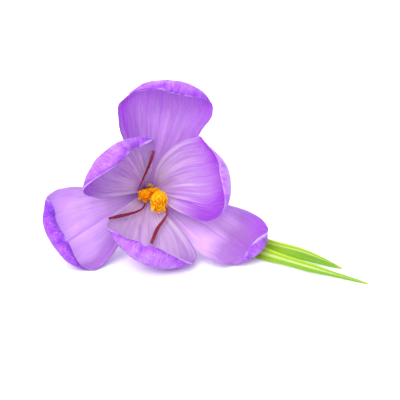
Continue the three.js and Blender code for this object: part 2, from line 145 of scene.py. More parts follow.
print("ease at a quarter:", ease(0.25), " noise:", wavy(np.arange(3.0), 0.0, 2.0, 1).round(2))


# %% Grids into meshes
def grid_quads(rows, columns, closed=False):
    """The four corners of each cell of a grid, anticlockwise as seen from rows x columns."""
    i, j = np.meshgrid(np.arange(rows - 1), np.arange(columns if closed else columns - 1), indexing="ij")
    after = (j + 1) % columns
    here, ahead = i * columns, (i + 1) * columns
    return np.stack([here + j, ahead + j, ahead + after, here + after], -1).reshape(-1, 4)


def add_mesh(name, points, faces, uv=None, **values):
    """A smooth mesh from points in millimetres and faces of four corners, where a last corner of -1 makes a
    triangle. uv and values hold one entry for each point."""
    corners = faces[faces >= 0]
    sizes = (faces >= 0).sum(1)
    mesh = bpy.data.meshes.new(name)
    mesh.vertices.add(len(points))
    mesh.vertices.foreach_set("co", np.ravel(points * MM))
    mesh.loops.add(len(corners))
    mesh.loops.foreach_set("vertex_index", corners)
    mesh.polygons.add(len(faces))
    mesh.polygons.foreach_set("loop_start", np.cumsum(sizes) - sizes)
    mesh.polygons.foreach_set("use_smooth", np.ones(len(faces), bool))
    mesh.update(calc_edges=True)
    if uv is not None:
        mesh.uv_layers.new(name="blade").data.foreach_set("uv", uv[corners].ravel())
    for key, value in values.items():
        mesh.attributes.new(key, "FLOAT", "POINT").data.foreach_set("value", np.ravel(value))
    piece = bpy.data.objects.new(name, mesh)
    bpy.context.scene.collection.objects.link(piece)
    return piece


def dress(piece, material, slot, *nodes):
    """Paints a piece, seats it on the model and hides the plain solids that it stands for."""
    piece.data.materials.append(material)
    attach(piece, "root")
    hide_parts(*nodes)
    corners = np.array([corner[:] for corner in piece.bound_box]) / MM
    size = (corners.max(0) - corners.min(0)).round(1).tolist()
    print(f"{piece.name}: {len(piece.data.polygons)} faces, {size} mm")


# %% Closed blades
def grid_normals(grid):
    """Rows direction x columns direction at each point of a grid, from its neighbours on both sides."""
    return unit(np.cross(np.gradient(grid, axis=0), np.gradient(grid, axis=1)))


def closed_blade(grid, thickness):
    """A front face and a back face, each half the thickness off the grid, which meet at a thin rim.

    The front lies on the side of rows x columns. The two share their points along both side margins and the
    last row, and the first row is closed by a narrow strip with a triangle at each end. Returns the points,
    the faces, a number for each point, which is 0 on the front, 1 on the back and a half on the rim, and the
    place of each point in the grid."""
    rows, columns, _ = grid.shape
    offset = grid_normals(grid) * (np.broadcast_to(thickness, (rows, columns)) / 2)[..., None]
    rim = np.zeros((rows, columns), bool)
    rim[1:, [0, -1]] = rim[-1] = True
    number = np.arange(rows * columns).reshape(rows, columns)
    behind = np.where(rim, number, number + rows * columns)
    quads = grid_quads(rows, columns)
    strip = np.stack([number[0, :-1], number[0, 1:], behind[0, 1:], behind[0, :-1]], -1)
    first_end = [number[1, 0], number[0, 0], behind[0, 0], -1]
    last_end = [number[0, -1], number[1, -1], behind[0, -1], -1]
    faces = np.vstack([quads, behind.ravel()[quads[:, ::-1]], strip, [first_end, last_end]])
    front = np.where(rim[..., None], grid, grid + offset)
    points = np.concatenate([front, grid - offset]).reshape(-1, 3)
    outer = np.concatenate([np.where(rim, 0.5, 0.0), np.ones((rows, columns))]).ravel()
    used = np.unique(faces[faces >= 0])
    faces = np.where(faces < 0, -1, np.searchsorted(used, faces))
    return points[used], faces, outer[used], used % (rows * columns)


def add_blade(name, grid, thickness, uv, **values):
    """A closed blade as a mesh. uv and values are grids too; the attribute "outer" is 1 on its back."""
    points, faces, outer, source = closed_blade(grid, thickness)
    rows, columns, _ = grid.shape
    values = {key: np.broadcast_to(value, (rows, columns)).ravel()[source] for key, value in values.items()}
    return add_mesh(name, points, faces, uv=uv.reshape(-1, 2)[source], outer=outer, **values)


# %% Skins round a path
STEPS_TO_A_POINT = 40  # of the curve that is measured, for each way point
NEARLY_PARALLEL = 0.9  # the cosine past which two directions are too close to build a frame from


def curve_through(way_points, t):
    """A smooth curve with way point k at t = k: each place blends the four nearest way points with cubic
    weights (Catmull-Rom)."""
    p = np.asarray(way_points, float)
    p = np.vstack([2 * p[0] - p[1], p, 2 * p[-1] - p[-2]])
    k = np.clip(t.astype(int), 0, len(way_points) - 2)
    f = (t - k)[:, None]
    a, b, c, d = p[k], p[k + 1], p[k + 2], p[k + 3]
    return 0.5 * (2 * b + (c - a) * f + (2 * a - 5 * b + 4 * c - d) * f**2 + (3 * b - a - 3 * c + d) * f**3)


def smooth_path(way_points, count):
    """Points on that curve, evenly spaced by length."""
    steps = STEPS_TO_A_POINT * len(way_points)
    curve = curve_through(way_points, np.linspace(0, len(way_points) - 1, steps))
    length = np.concatenate([[0], np.cumsum(np.linalg.norm(np.diff(curve, axis=0), axis=1))])
    even = np.linspace(0, length[-1], count)
    return np.stack([np.interp(even, length, curve[:, axis]) for axis in range(3)], -1)


def frames_along(path):
    """Two unit directions across a path, carried along it without needless turning.

    The first row takes a fixed side direction; each next one is the last one made square to the path
    again."""
    ahead = unit(np.gradient(path, axis=0))
    side = np.empty_like(path)
    helper = RIGHT if abs(ahead[0] @ RIGHT) < NEARLY_PARALLEL else FACING
    side[0] = unit(helper - ahead[0] * (helper @ ahead[0]))
    for k in range(1, len(path)):
        side[k] = unit(side[k - 1] - ahead[k] * (side[k - 1] @ ahead[k]))
    return side, np.cross(ahead, side)


def rings_round(path, side, up, radius, sides):
    """Rings round a path: its point plus radius times (cosine of one side direction, sine of the other).
    radius holds a number for each row, or for each row and side."""
    turn = turns(sides)
    radius = np.broadcast_to(np.reshape(radius, (len(path), -1)), (len(path), sides))
    ring = np.cos(turn)[None, :, None] * side[:, None] + np.sin(turn)[None, :, None] * up[:, None]
    return path[:, None] + radius[..., None] * ring


def with_poles(values):
    """The values of a grid of rings in one line, then the means of its first and of its last ring."""
    return np.concatenate([values.ravel(), [values[0].mean(), values[-1].mean()]])


def add_rod(name, grid, **values):
    """A closed skin over rows of rings, whose ends are fans round a point in the middle of each. Its map runs
    round the rod and along it, and values are grids with an entry for each point of the rings."""
    rows, sides, _ = grid.shape
    points = np.vstack([grid.reshape(-1, 3), grid[0].mean(0), grid[-1].mean(0)])
    here = np.arange(sides)
    after = (here + 1) % sides
    last = (rows - 1) * sides
    none = np.full(sides, -1)
    first_fan = np.stack([np.full(sides, rows * sides), after, here, none], -1)
    last_fan = np.stack([np.full(sides, rows * sides + 1), last + here, last + after, none], -1)
    faces = np.vstack([grid_quads(rows, sides, closed=True)[:, ::-1], first_fan, last_fan])
    around, along = np.meshgrid(np.abs(2 * here / sides - 1), np.linspace(0, 1, rows))
    uv = np.vstack([np.stack([around, along], -1).reshape(-1, 2), [[0, 0], [0, 1]]])
    values = {key: with_poles(np.broadcast_to(value, (rows, sides))) for key, value in values.items()}
    return add_mesh(name, points, faces, uv=uv, **values)


print("a curve through three points:", smooth_path([[0, 0, 0], [1, 1, 0], [2, 0, 0]], 3).round(2).tolist())

# %% [markdown]
# ## Tepals
#
# A crocus has six tepals in two whorls of three. Each is a broad blade on a narrow claw: cupped across,
# arched along, and rolled inwards at its tip. It could be sculpted, or cut from a subdivided plane and bent
# with modifiers. Here it is a formula, because the six then differ only by numbers, and the solids have
# nearly the same ones: a midrib walks out from the claw and turns as it goes, and at each step a curved
# section crosses it.

# %% The six blades
WHORL_RADIUS = {"outer": 4.7, "inner": 3.3}
CLAW_HALF_WIDTH = {"outer": 4.0, "inner": 2.9}

# azimuth: the place round the flower. widest, blunt: where the blade is broadest, and how blunt its tip is.
# opening: how far it leans out at the claw and in the blade, reached at the share opened. curl: how far its
# tip rolls in, from curl_from on. cupping: how far a half turns up across at three places, and roll adds to
# that near its margin. uneven, lopsided: how unlike the halves are in depth and in width. trim: how much
# narrower each half is past the shares trimmed. flush: how violet it is all over, at the tip and along its
# two margins. This is partly its own colour and partly painted light and shade: paler where light shines
# through a blade, and deeper where a part turns away into shade. back: how deep its outside is, which is
# painted shade on blades whose outside faces away from the light. Pairs for the two halves start with the
# clockwise one, as seen from the front.
TEPALS = {
    "tepal_outer_top": dict(
        whorl="outer", azimuth=84, length=58.5, half_width=21.1, widest=0.63, blunt=(2.5, 3.3),
        opening=(28, 61), opened=0.57, curl=148, curl_from=0.55, cupping=(35, 64, 61), roll=(3, -3),
        uneven=-0.07, lopsided=0.03, sweep=7, lean=-3, twist=17.5, trim=(-0.1, -0.03), trimmed=(0.48, 0.6),
        flush=(-0.08, 0.32, 0.4, 0.65), back=0.6),
    "tepal_outer_left": dict(
        whorl="outer", azimuth=216, length=58.5, half_width=20.5, widest=0.65, blunt=(2.6, 3.3),
        opening=(32, 81), opened=0.2, curl=161, curl_from=0.6, cupping=(39, 53, 63), roll=(23, 0),
        uneven=-0.15, lopsided=-0.08, sweep=6.3, lean=0, twist=0.5, trim=(0.05, 0.01), trimmed=(0.55, 0.81),
        flush=(-0.3, -0.1, -0.2, 0.55), back=1.0),
    "tepal_outer_right": dict(
        whorl="outer", azimuth=324, length=58, half_width=14.8, widest=0.74, blunt=(2.0, 1.55),
        opening=(31, 70), opened=0.23, curl=154, curl_from=0.79, cupping=(32, 30, 48), roll=(10, 30),
        uneven=0.59, lopsided=-0.03, sweep=-11.5, lean=4, twist=-34.5, trim=(0.06, -0.07),
        trimmed=(0.52, 0.78), flush=(-0.45, 0.7, -0.2, 0.15), back=0.5),
    "tepal_inner_left": dict(
        whorl="inner", azimuth=152, length=50, half_width=19.4, widest=0.7, blunt=(3.0, 2.35),
        opening=(4, 36.5), opened=0.37, curl=130, curl_from=0.55, cupping=(44, 53, 58), roll=(25, 6),
        uneven=-0.06, lopsided=0.14, sweep=9.6, lean=-10, twist=-13.5, trim=(0.29, -0.1),
        trimmed=(0.6, 0.84), flush=(-0.05, 0.5, 0.15, 0.1), back=0.55),
    "tepal_inner_right": dict(
        whorl="inner", azimuth=4, length=49.7, half_width=19.5, widest=0.63, blunt=(1.55, 1.72),
        opening=(4, 75), opened=0.59, curl=138, curl_from=0.5, cupping=(47, 48, 49), roll=(20, -20),
        uneven=-0.02, lopsided=-0.03, sweep=1.2, lean=12, twist=6, trim=(-0.07, 0.11), trimmed=(0.43, 0.6),
        flush=(0.0, 0.6, 1.2, 0.25), back=0.05),
    "tepal_inner_lower": dict(
        whorl="inner", azimuth=259, length=55, half_width=21.1, widest=0.62, blunt=(3.4, 2.8),
        opening=(24, 67.5), opened=0.27, curl=130, curl_from=0.47, cupping=(48, 57, 66), roll=(1, -14),
        uneven=0.28, lopsided=0.1, sweep=3.2, lean=-11, twist=-5, trim=(0.11, 0.04), trimmed=(0.56, 0.76),
        flush=(-0.25, 0.2, 0.1, 0.3), back=0.5),
}
print(len(TEPALS), "tepals at", [t["azimuth"] for t in TEPALS.values()], "degrees")


# %% The midrib's walk
STEPS = 400
CLAW_SHARE = 0.3  # of the length, over which the claw turns into the blade
SWEEP_GROWTH = 1.5


def midrib(t):
    """Each step goes ahead in a direction that leans from the flower's axis by the opening less the curl,
    and turns sideways by the sweep. The place is the running sum of the steps. Beside it go the sideways
    direction and the inner normal, turned about the midrib by the lean and the twist."""
    share = np.linspace(0, 1, STEPS + 1)
    outward, sideways = around_axis(t["azimuth"]), around_axis(t["azimuth"] + 90)
    rolled = t["curl"] * 2 * ease(0.5 * (share - t["curl_from"]) / (1 - t["curl_from"]))
    angle = np.radians(between(*t["opening"], ease(share / t["opened"])) - rolled)[:, None]
    ahead = np.cos(angle) * FACING + np.sin(angle) * outward
    inner = np.sin(angle) * FACING - np.cos(angle) * outward
    swept = np.radians(t["sweep"]) * share[:, None] ** SWEEP_GROWTH
    heading = np.cos(swept) * ahead + np.sin(swept) * sideways
    level = np.cos(swept) * sideways - np.sin(swept) * ahead
    turned = np.radians(t["lean"] * ease(share / CLAW_SHARE) + t["twist"] * ease(share))[:, None]
    side = np.cos(turned) * level + np.sin(turned) * inner
    normal = np.cos(turned) * inner - np.sin(turned) * level
    place = np.cumsum(heading, 0) * t["length"] / STEPS
    start = THROAT + outward * WHORL_RADIUS[t["whorl"]]
    return start + np.vstack([np.zeros(3), place[:-1]]), side, normal


place, side, normal = midrib(TEPALS["tepal_outer_top"])
print("the top midrib ends at", place[-1].round(1).tolist())


# %% A plain blade
ROWS, HALF_COLUMNS = 170, 56
LAST_ROW, CROWDING = 0.9999, 1.75  # rows end just short of the tip, and crowd towards it
CUPPING_SHARE = 0.65  # of the length, where the second of the three cuppings is reached
CUP_GROWTH = 1.3
ROLL_FROM, ROLL_GROWN = 0.55, (0.35, 0.65)  # where a margin's roll starts across a half, and along the blade
EVEN_SHARE = 0.4  # of the length, over which the two halves of a blade grow unlike


def half_width(t, u, k):
    """Grows by an S-step from the claw to the widest place, then falls off like a blunt ellipse."""
    grown = between(CLAW_HALF_WIDTH[t["whorl"]], t["half_width"], ease(u / t["widest"]))
    past = np.clip((u - t["widest"]) / (1 - t["widest"]), 0, 1)
    return grown * np.sqrt(1 - past ** t["blunt"][k])


def cupping(t, u):
    """The angle that a section turns through from midrib to margin, joined from four places by S-steps."""
    stations = (0, CLAW_SHARE, CUPPING_SHARE, 1)
    ring_turn = np.degrees(CLAW_HALF_WIDTH[t["whorl"]] / WHORL_RADIUS[t["whorl"]])
    cuppings = (ring_turn, *t["cupping"])
    total = np.full_like(u, ring_turn)
    for a, b, low, high in zip(stations, stations[1:], cuppings, cuppings[1:]):
        total += (high - low) * ease((u - a) / (b - a))
    return np.radians(total)


def half_section(t, u, k):
    """One half of every section, walked outwards from the midrib. It turns by the cupping times the share
    across to the power 1.3, plus its roll near the margin. Its places out and up are the running sums of the
    cosines and sines of that."""
    middles = (np.arange(HALF_COLUMNS) + 0.5) / HALF_COLUMNS
    rolled = ease((u - ROLL_GROWN[0]) / (ROLL_GROWN[1] - ROLL_GROWN[0]))[:, None]
    rolled = rolled * np.radians(t["roll"][k]) * ease((middles - ROLL_FROM) / (1 - ROLL_FROM))
    turn = cupping(t, u)[:, None] * middles**CUP_GROWTH + rolled
    cut = 1 - t["trim"][k] * ease((u - t["trimmed"][0]) / (t["trimmed"][1] - t["trimmed"][0]))
    width = (half_width(t, u, k) * cut)[:, None]
    start = np.zeros((len(u), 1))
    out = np.hstack([start, np.cumsum(np.cos(turn), 1)]) * width / HALF_COLUMNS
    deep = np.hstack([start, np.cumsum(np.sin(turn), 1)]) * width / HALF_COLUMNS
    return out, deep, np.broadcast_to(width, out.shape)


def plain_tepal(t):
    """The two halves of every section, set square across the midrib. Also returns the share along the blade,
    the share across it from -1 to 1, and the half width there."""
    u = LAST_ROW * (1 - (1 - np.linspace(0, 1, ROWS)) ** CROWDING)
    first, second = half_section(t, u, 0), half_section(t, u, 1)
    out, deep, width = (np.hstack([a[:, :0:-1], b]) for a, b in zip(first, second))
    v = np.linspace(-1, 1, 2 * HALF_COLUMNS + 1)[None, :]
    grown = ease(u / EVEN_SHARE)[:, None]
    out = np.sign(v) * out * (1 + t["lopsided"] * grown * np.sign(v))
    deep = deep * (1 + t["uneven"] * grown * v)
    place, side, normal = (
        np.stack([np.interp(u * STEPS, np.arange(STEPS + 1), axis) for axis in line.T], -1)[:, None]
        for line in midrib(t))
    grid = place + side * out[..., None] + normal * deep[..., None]
    return grid, np.broadcast_to(u[:, None], out.shape), v, width


print("rows and columns of a blade:", plain_tepal(TEPALS["tepal_outer_top"])[0].shape[:2])

# %% [markdown]
# A real blade is never quite smooth. Its margin ripples, its veins stand up as fine pleats that fan out from
# the claw, a shallow groove runs along the midrib and the tissue between puckers a little. These are a
# fraction of a millimetre high, but they break up the light, so they are real relief in the mesh and not
# only a shader's.

# %% A blade with its relief
BLADE_THICKNESS, RIM_THICKNESS, RIM_REACH = 0.5, 0.24, 3
FLUSH_REACH, FLUSH_GROWN = 15.0, 0.45  # mm in from the margin, and the share of the length it grows over
TIP_FLUSH_FROM, TIP_FLUSH_OVER = 0.48, 0.34
TIP_CORNER = 0.3  # mm further from the margin at the tip, for each mm that a point is off the midrib

# waves of the relief, as their height and their length in mm: two of the face, two of the margin, and the
# pleats, which are counted across the fan of veins and stretched along it
PUCKERS, DIMPLES = (0.34, 19), (0.1, 7)
RIPPLES, FRILL = (0.24, 13), (0.09, 3.4)
PLEATS, PLEATS_ACROSS, PLEATS_ALONG = (0.045, 2.0), 24, 0.12
FACE_REACH, MARGIN_REACH = 6, 2.2  # mm from the margin, over which those of the face rise and its own fade
RELIEF_GROWN, TIP_SHARE = 0.25, 0.06  # shares of the length over which relief rises, and the ripples end
GROOVE_DEPTH, GROOVE_WIDTH = 0.6, 1.3
GROOVE_RISES, GROOVE_ENDS, GROOVE_FADES = 0.2, 0.85, 0.5  # shares of the length: it fades up to where it ends
MARGIN_CENTRE, MARGIN_RADIUS = 0.55, 20  # the margin is an arc round this share of the length, for its waves


def tepal_relief(t, u, x, fan, to_margin, seed):
    """Heights in mm: puckers, dimples and pleats on the face, less a groove along the midrib, plus ripples
    that run along the margin and fade by e to the minus distance from it."""
    y = u * t["length"]
    grown = ease(u / RELIEF_GROWN)
    on_face = grown * ease(to_margin / FACE_REACH)
    relief = (swell(x, y, PUCKERS, seed) + swell(x, y, DIMPLES, seed + 4)) * on_face
    relief += swell(fan * PLEATS_ACROSS, y * PLEATS_ALONG, PLEATS, seed + 1) * on_face
    groove = GROOVE_DEPTH * bump_at(x, 0, GROOVE_WIDTH)
    relief -= groove * ease(u / GROOVE_RISES) * ease((GROOVE_ENDS - u) / GROOVE_FADES)
    along_margin = np.arctan2(x, y - MARGIN_CENTRE * t["length"]) * MARGIN_RADIUS
    ripple = swell(along_margin, 0, RIPPLES, seed + 2) + swell(along_margin, 0, FRILL, seed + 3)
    relief += ripple * np.exp(-to_margin / MARGIN_REACH) * grown * ease((1 - u) / TIP_SHARE)
    return relief


def flush_of(t, u, v, to_side):
    """How violet each point is, partly its own colour and partly painted light and shade: all over, plus a
    share that rises towards the tip and one at each margin.
    """
    all_over, at_tip, clockwise, anticlockwise = t["flush"]
    flush = all_over + at_tip * ease((u - TIP_FLUSH_FROM) / TIP_FLUSH_OVER)
    beside = np.where(v < 0, clockwise, anticlockwise)
    return flush + beside * (1 - ease(to_side / FLUSH_REACH)) * ease(u / FLUSH_GROWN)


def make_tepal(name, seed):
    """The relief goes along the surface's normal. The map fans out from the claw up to the widest place. The
    blade is thinnest at its rim: its thickness grows by an S-step over the first 3 mm."""
    t = TEPALS[name]
    grid, u, v, width = plain_tepal(t)
    x = v * width
    to_side = width * (1 - np.abs(v))
    to_margin = np.minimum(to_side, t["length"] * (1 - u) + TIP_CORNER * np.abs(x))
    fan = x / np.where(u < t["widest"], width, t["half_width"])
    grid = grid + grid_normals(grid) * tepal_relief(t, u, x, fan, to_margin, seed)[..., None]
    thick = between(RIM_THICKNESS, BLADE_THICKNESS, ease(to_margin / RIM_REACH))
    blade_uv = np.stack([fan, u], -1)
    # How violet each point is, partly its own colour and partly painted light and shade.
    flush = flush_of(t, u, v, to_side)
    # back sets how deep the outside is painted: painted shade on blades whose outside faces away from the
    # light.
    return add_blade(name + "_blade", grid, thick, blade_uv, margin=to_margin, flush=flush, back=t["back"])


blades = {name: make_tepal(name, 10 * k) for k, name in enumerate(TEPALS)}
print("points on a blade:", len(blades["tepal_outer_top"].data.vertices))

# %% [markdown]
# ## Tools for finishes
#
# Every finish is a small network of shader nodes. A few short helpers keep each one readable: one makes a
# node and links it, the others are named for what they do to a colour or to a number. Colours are written as
# they look on a screen, from 0 to 255, and turned into the linear numbers that a shader takes.


# %% Node tools
def node(tree, kind, sockets=(), **settings):
    """A shader node with its settings, and its sockets set to a value or linked to another node's output."""
    made = tree.nodes.new("ShaderNode" + kind)
    for key, value in settings.items():
        setattr(made, key, value)
    for key, value in dict(sockets).items():
        if isinstance(value, bpy.types.NodeSocket):
            tree.links.new(value, made.inputs[key])
        else:
            made.inputs[key].default_value = value
    return made


def maths(tree, operation, *values):
    """The number that an operation makes of one or two others."""
    return node(tree, "Math", enumerate(values), operation=operation).outputs[0]


def mixed(tree, share, one, other):
    """One colour, and at a share of 1 the other one."""
    return node(tree, "Mix", {0: share, 6: one, 7: other}, data_type="RGBA").outputs[2]


def ramp(tree, value, *stops):
    """The colour at a value, blended between (position, colour) stops."""
    made = node(tree, "ValToRGB", {0: value})
    for _ in stops[2:]:
        made.color_ramp.elements.new(0.5)
    for element, (position, shade) in zip(made.color_ramp.elements, stops):
        element.position, element.color = position, shade
    return made.outputs[0]


def spread(tree, value, low, high, to_low=0.0, to_high=1.0):
    """A value moved smoothly from the range low to high to another range, and held at its ends."""
    sockets = {"Value": value, "From Min": low, "From Max": high, "To Min": to_low, "To Max": to_high}
    return node(tree, "MapRange", sockets, interpolation_type="SMOOTHSTEP").outputs[0]


def attribute(tree, name):
    """One of the numbers that a piece's own points hold."""
    return node(tree, "Attribute", attribute_name=name).outputs["Fac"]


def blade_map(tree):
    """The two coordinates of a piece's own map: across or round it, and along it."""
    axes = node(tree, "SeparateXYZ", {0: node(tree, "UVMap", uv_map="blade").outputs[0]})
    return axes.outputs[0], axes.outputs[1]


def streaks(tree, across, along, per_across, per_along, seed, detail):
    """Noise on the piece's own map, stretched along it by having fewer cells that way than across."""
    right = maths(tree, "MULTIPLY", across, per_across)
    ahead = maths(tree, "MULTIPLY", along, per_along)
    place = node(tree, "CombineXYZ", {0: right, 1: ahead, 2: seed}).outputs[0]
    sockets = {"Vector": place, "Scale": 1.0, "Detail": detail, "Roughness": 0.6, "Distortion": 0.15}
    return node(tree, "TexNoise", sockets).outputs[0]


def grain(tree, per_metre, detail=3.0):
    """Even noise in the piece's own space, with so many cells to a metre."""
    place = node(tree, "TexCoord").outputs["Object"]
    return node(tree, "TexNoise", {"Vector": place, "Scale": per_metre, "Detail": detail}).outputs[0]


def bump(tree, height, millimetres, strength):
    """The surface's normal, tilted as if a height from 0 to 1 were relief of some millimetres."""
    sockets = {"Height": height, "Strength": strength, "Distance": millimetres * MM}
    return node(tree, "Bump", sockets).outputs[0]


def colour(red, green, blue):
    """A colour as seen on a screen, 0 to 255, as the linear numbers that a shader takes."""
    screen = np.array([red, green, blue]) / 255
    linear = np.where(screen < 0.04045, screen / 12.92, ((screen + 0.055) / 1.055) ** 2.4)
    return (*linear, 1.0)


SHINING_THROUGH = 1.3  # the power that deepens a colour seen by the light from behind


def tissue(name, paint, see_through, **sockets):
    """A material of living tissue. paint(tree) returns its colour and its normal; a share of the light goes
    through to the other side, deeper in colour, and the sockets are the surface shader's own."""
    material = bpy.data.materials.new(name)
    material.use_nodes = True
    tree = material.node_tree
    tree.nodes.clear()
    shade, normal = paint(tree)
    sockets = {key.replace("_", " "): value for key, value in sockets.items()}
    surface = node(tree, "BsdfPrincipled", {"Base Color": shade, "Normal": normal, **sockets})
    deeper = node(tree, "Gamma", {"Color": shade, "Gamma": SHINING_THROUGH}).outputs[0]
    through = node(tree, "BsdfTranslucent", {"Color": deeper, "Normal": normal})
    joined = node(tree, "MixShader", {0: see_through, 1: surface.outputs[0], 2: through.outputs[0]})
    node(tree, "OutputMaterial", {0: joined.outputs[0]})
    return material


print("lilac in linear numbers:", np.round(colour(194, 153, 231), 3).tolist())

# %% [markdown]
# ## The finish of the tepals
#
# The tissue is lilac with a silky sheen. It flushes to a strong violet towards the tip and the margins, and
# pales near the throat: to a dull pink on the outer tepals and nearly to white on the inner ones, which also
# have whitish rays. Part of this is painted light and shade. Some blades are painted paler where light shines
# through them and deeper where they turn into shade, the dull pink of the outer throats is painted shade, and
# a violet line along the midrib also paints the shade of its crease. Fine veins fan out along each blade,
# some darker and some paler than the rest. The map's first coordinate fans out with the veins, so stretched
# noise on it draws them where they grow. The outside of a blade is deeper, and deepest, as painted shade, on
# blades whose outside faces away from the light. It is flecked pale and dark, with the pale flecks partly a
# painted silky sheen. It is feathered with dark veins and has painted highlights in places along its rim. A
# share of the light shines through the tissue.


# %% Tepal finish
# cells across and along the map, a seed, and how much fine detail there is
TEPAL_STREAKS = {
    "broad": (3.0, 1.2, 3.0, 2.0),
    "veins": (10.0, 1.5, 6.0, 3.0),
    "threads": (19.0, 1.2, 4.0, 2.0),
    "fine": (30.0, 2.5, 9.0, 4.0),
    "dashes": (36.0, 9.0, 11.0, 3.0),
    "flecks": (44.0, 34.0, 5.0, 4.0),
    "cloud": (7.0, 8.0, 2.0, 4.0),
    "patches": (3.0, 4.0, 1.0, 2.0),
}


def paint_inside(tree, fan, along, marks, heart, pale, body, violet, whitish):
    """From pale over the body's colour to violet as it flushes, partly its own colour and partly painted
    light and shade, and to the heart's colour near the throat, all veined; on the outer tepals that dull pink
    is painted shade. Whitish rays run out from the throat, and a violet line follows the midrib and also
    paints the shade of its crease."""
    # How violet, partly its own colour and partly painted light and shade: paler where light shines through,
    # deeper where the blade turns into shade.
    flushed = maths(tree, "ADD", attribute(tree, "flush"), spread(tree, marks["broad"], 0.3, 0.7, 0.28, 0.45))
    inside = ramp(tree, flushed, (0.0, pale), (0.36, body), (1.0, violet))
    near_throat = maths(tree, "ADD", along, spread(tree, marks["veins"], 0.3, 0.7, 0.1, -0.1))
    # The heart's colour near the throat: on the outer tepals its dull pink is painted shade of the throat.
    inside = mixed(tree, spread(tree, near_throat, 0.55, 0.12), inside, heart)
    reach = spread(tree, along, 0.75, 0.25, 0.05, whitish)
    rays = maths(tree, "MULTIPLY", spread(tree, marks["threads"], 0.52, 0.66), reach)
    rays = maths(tree, "MULTIPLY", rays, spread(tree, marks["broad"], 0.38, 0.62, 0.35, 1.0))
    inside = mixed(tree, rays, inside, colour(240, 226, 238))
    inside = mixed(tree, spread(tree, marks["veins"], 0.5, 0.28, 0.0, 0.07), inside, violet)
    inside = mixed(tree, spread(tree, marks["fine"], 0.5, 0.72, 0.0, 0.12), inside, colour(226, 212, 235))
    inside = mixed(tree, spread(tree, marks["fine"], 0.48, 0.3, 0.0, 0.08), inside, violet)
    inside = mixed(tree, spread(tree, marks["dashes"], 0.46, 0.32, 0.0, 0.24), inside, violet)
    inside = mixed(tree, spread(tree, marks["dashes"], 0.54, 0.7, 0.0, 0.16), inside, colour(240, 222, 248))
    # A violet line along the midrib, partly its own vein and partly painted shade of the crease there.
    rib_and_crease_shade = spread(tree, maths(tree, "ABSOLUTE", fan), 0.045, 0.005, 0.0, 0.3)
    return mixed(tree, rib_and_crease_shade, inside, violet)


def paint_outside(tree, along, marks):
    """Clouds of lilac to deep violet, deepest near the margin and, as painted shade, on blades whose outside
    faces away from the light; then pale and dark flecks, the pale ones partly a painted silky sheen, dark
    veins and painted highlights along the rim.
    """
    margin = attribute(tree, "margin")
    # back is painted shade: the outside is painted deeper on blades that face away from the light.
    depth = maths(tree, "ADD", attribute(tree, "back"), spread(tree, marks["cloud"], 0.3, 0.7, -0.4, 0.1))
    depth = maths(tree, "ADD", depth, spread(tree, margin, 5.0, 0.8, 0.0, 0.5))
    outside = ramp(
        tree, maths(tree, "MULTIPLY", depth, 0.6), (0.0, colour(214, 160, 240)), (0.3, colour(194, 111, 236)),
        (0.6, colour(158, 62, 220)), (0.9, colour(126, 36, 196)))
    flecks = marks["flecks"]
    # The pale flecks are partly a painted silky sheen.
    outside = mixed(tree, spread(tree, flecks, 0.48, 0.72, 0.0, 0.38), outside, colour(228, 194, 250))
    outside = mixed(tree, spread(tree, flecks, 0.48, 0.3, 0.0, 0.26), outside, colour(160, 68, 222))
    reach = spread(tree, along, 0.8, 0.15, 0.06, 0.55)
    feathered = maths(tree, "MULTIPLY", spread(tree, marks["veins"], 0.48, 0.34), reach)
    outside = mixed(tree, feathered, outside, colour(128, 56, 186))
    # Painted highlights: pale patches along the rim stand for light glinting on the margin.
    at_rim = spread(tree, margin, 1.1, 0.1, 0.0, 0.75)
    painted_rim_glint = maths(tree, "MULTIPLY", at_rim, spread(tree, marks["patches"], 0.42, 0.6, 0.1, 1.0))
    return mixed(tree, painted_rim_glint, outside, colour(233, 222, 240))


def paint_tepal(heart, pale, body, violet, whitish):
    """Colours of the throat, of the palest and the usual blade and of its violet parts, which also serve as
    painted light and shade, and how strong its whitish rays are."""

    def paint(tree):
        fan, along = blade_map(tree)
        marks = {name: streaks(tree, fan, along, *cells) for name, cells in TEPAL_STREAKS.items()}
        inside = paint_inside(tree, fan, along, marks, heart, pale, body, violet, whitish)
        outside = paint_outside(tree, along, marks)
        return mixed(tree, attribute(tree, "outer"), inside, outside), bump(tree, marks["fine"], 0.1, 0.5)

    return paint


silky = {"Roughness": 0.5, "Specular_IOR_Level": 0.3, "Sheen_Weight": 0.2, "Sheen_Roughness": 0.4}
# The outer heart's dull pink is painted shade of the throat.
paint_outer = paint_tepal(
    colour(206, 168, 210), colour(244, 203, 252), colour(190, 135, 214), colour(186, 76, 226), 0.4)
paint_inner = paint_tepal(
    colour(238, 218, 232), colour(240, 212, 238), colour(198, 154, 215), colour(178, 78, 218), 1.0)
finish_of = {
    "outer": tissue("tepal_outer_tissue", paint_outer, 0.42, **silky),
    "inner": tissue("tepal_inner_tissue", paint_inner, 0.42, **silky),
}
for name, blade in blades.items():
    dress(blade, finish_of[TEPALS[name]["whorl"]], "tepal", name)

# %% [markdown]
# ## Leaves
#
# Crocus leaves are narrow grass-like blades, channelled along the middle, where a pale stripe runs from end
# to end, and keeled underneath. These two lie on their edges. A strip could be bent along a curve with a
# modifier, but a grid carried along the route keeps the stripe, the channel and the fine veins exactly in
# step with it.

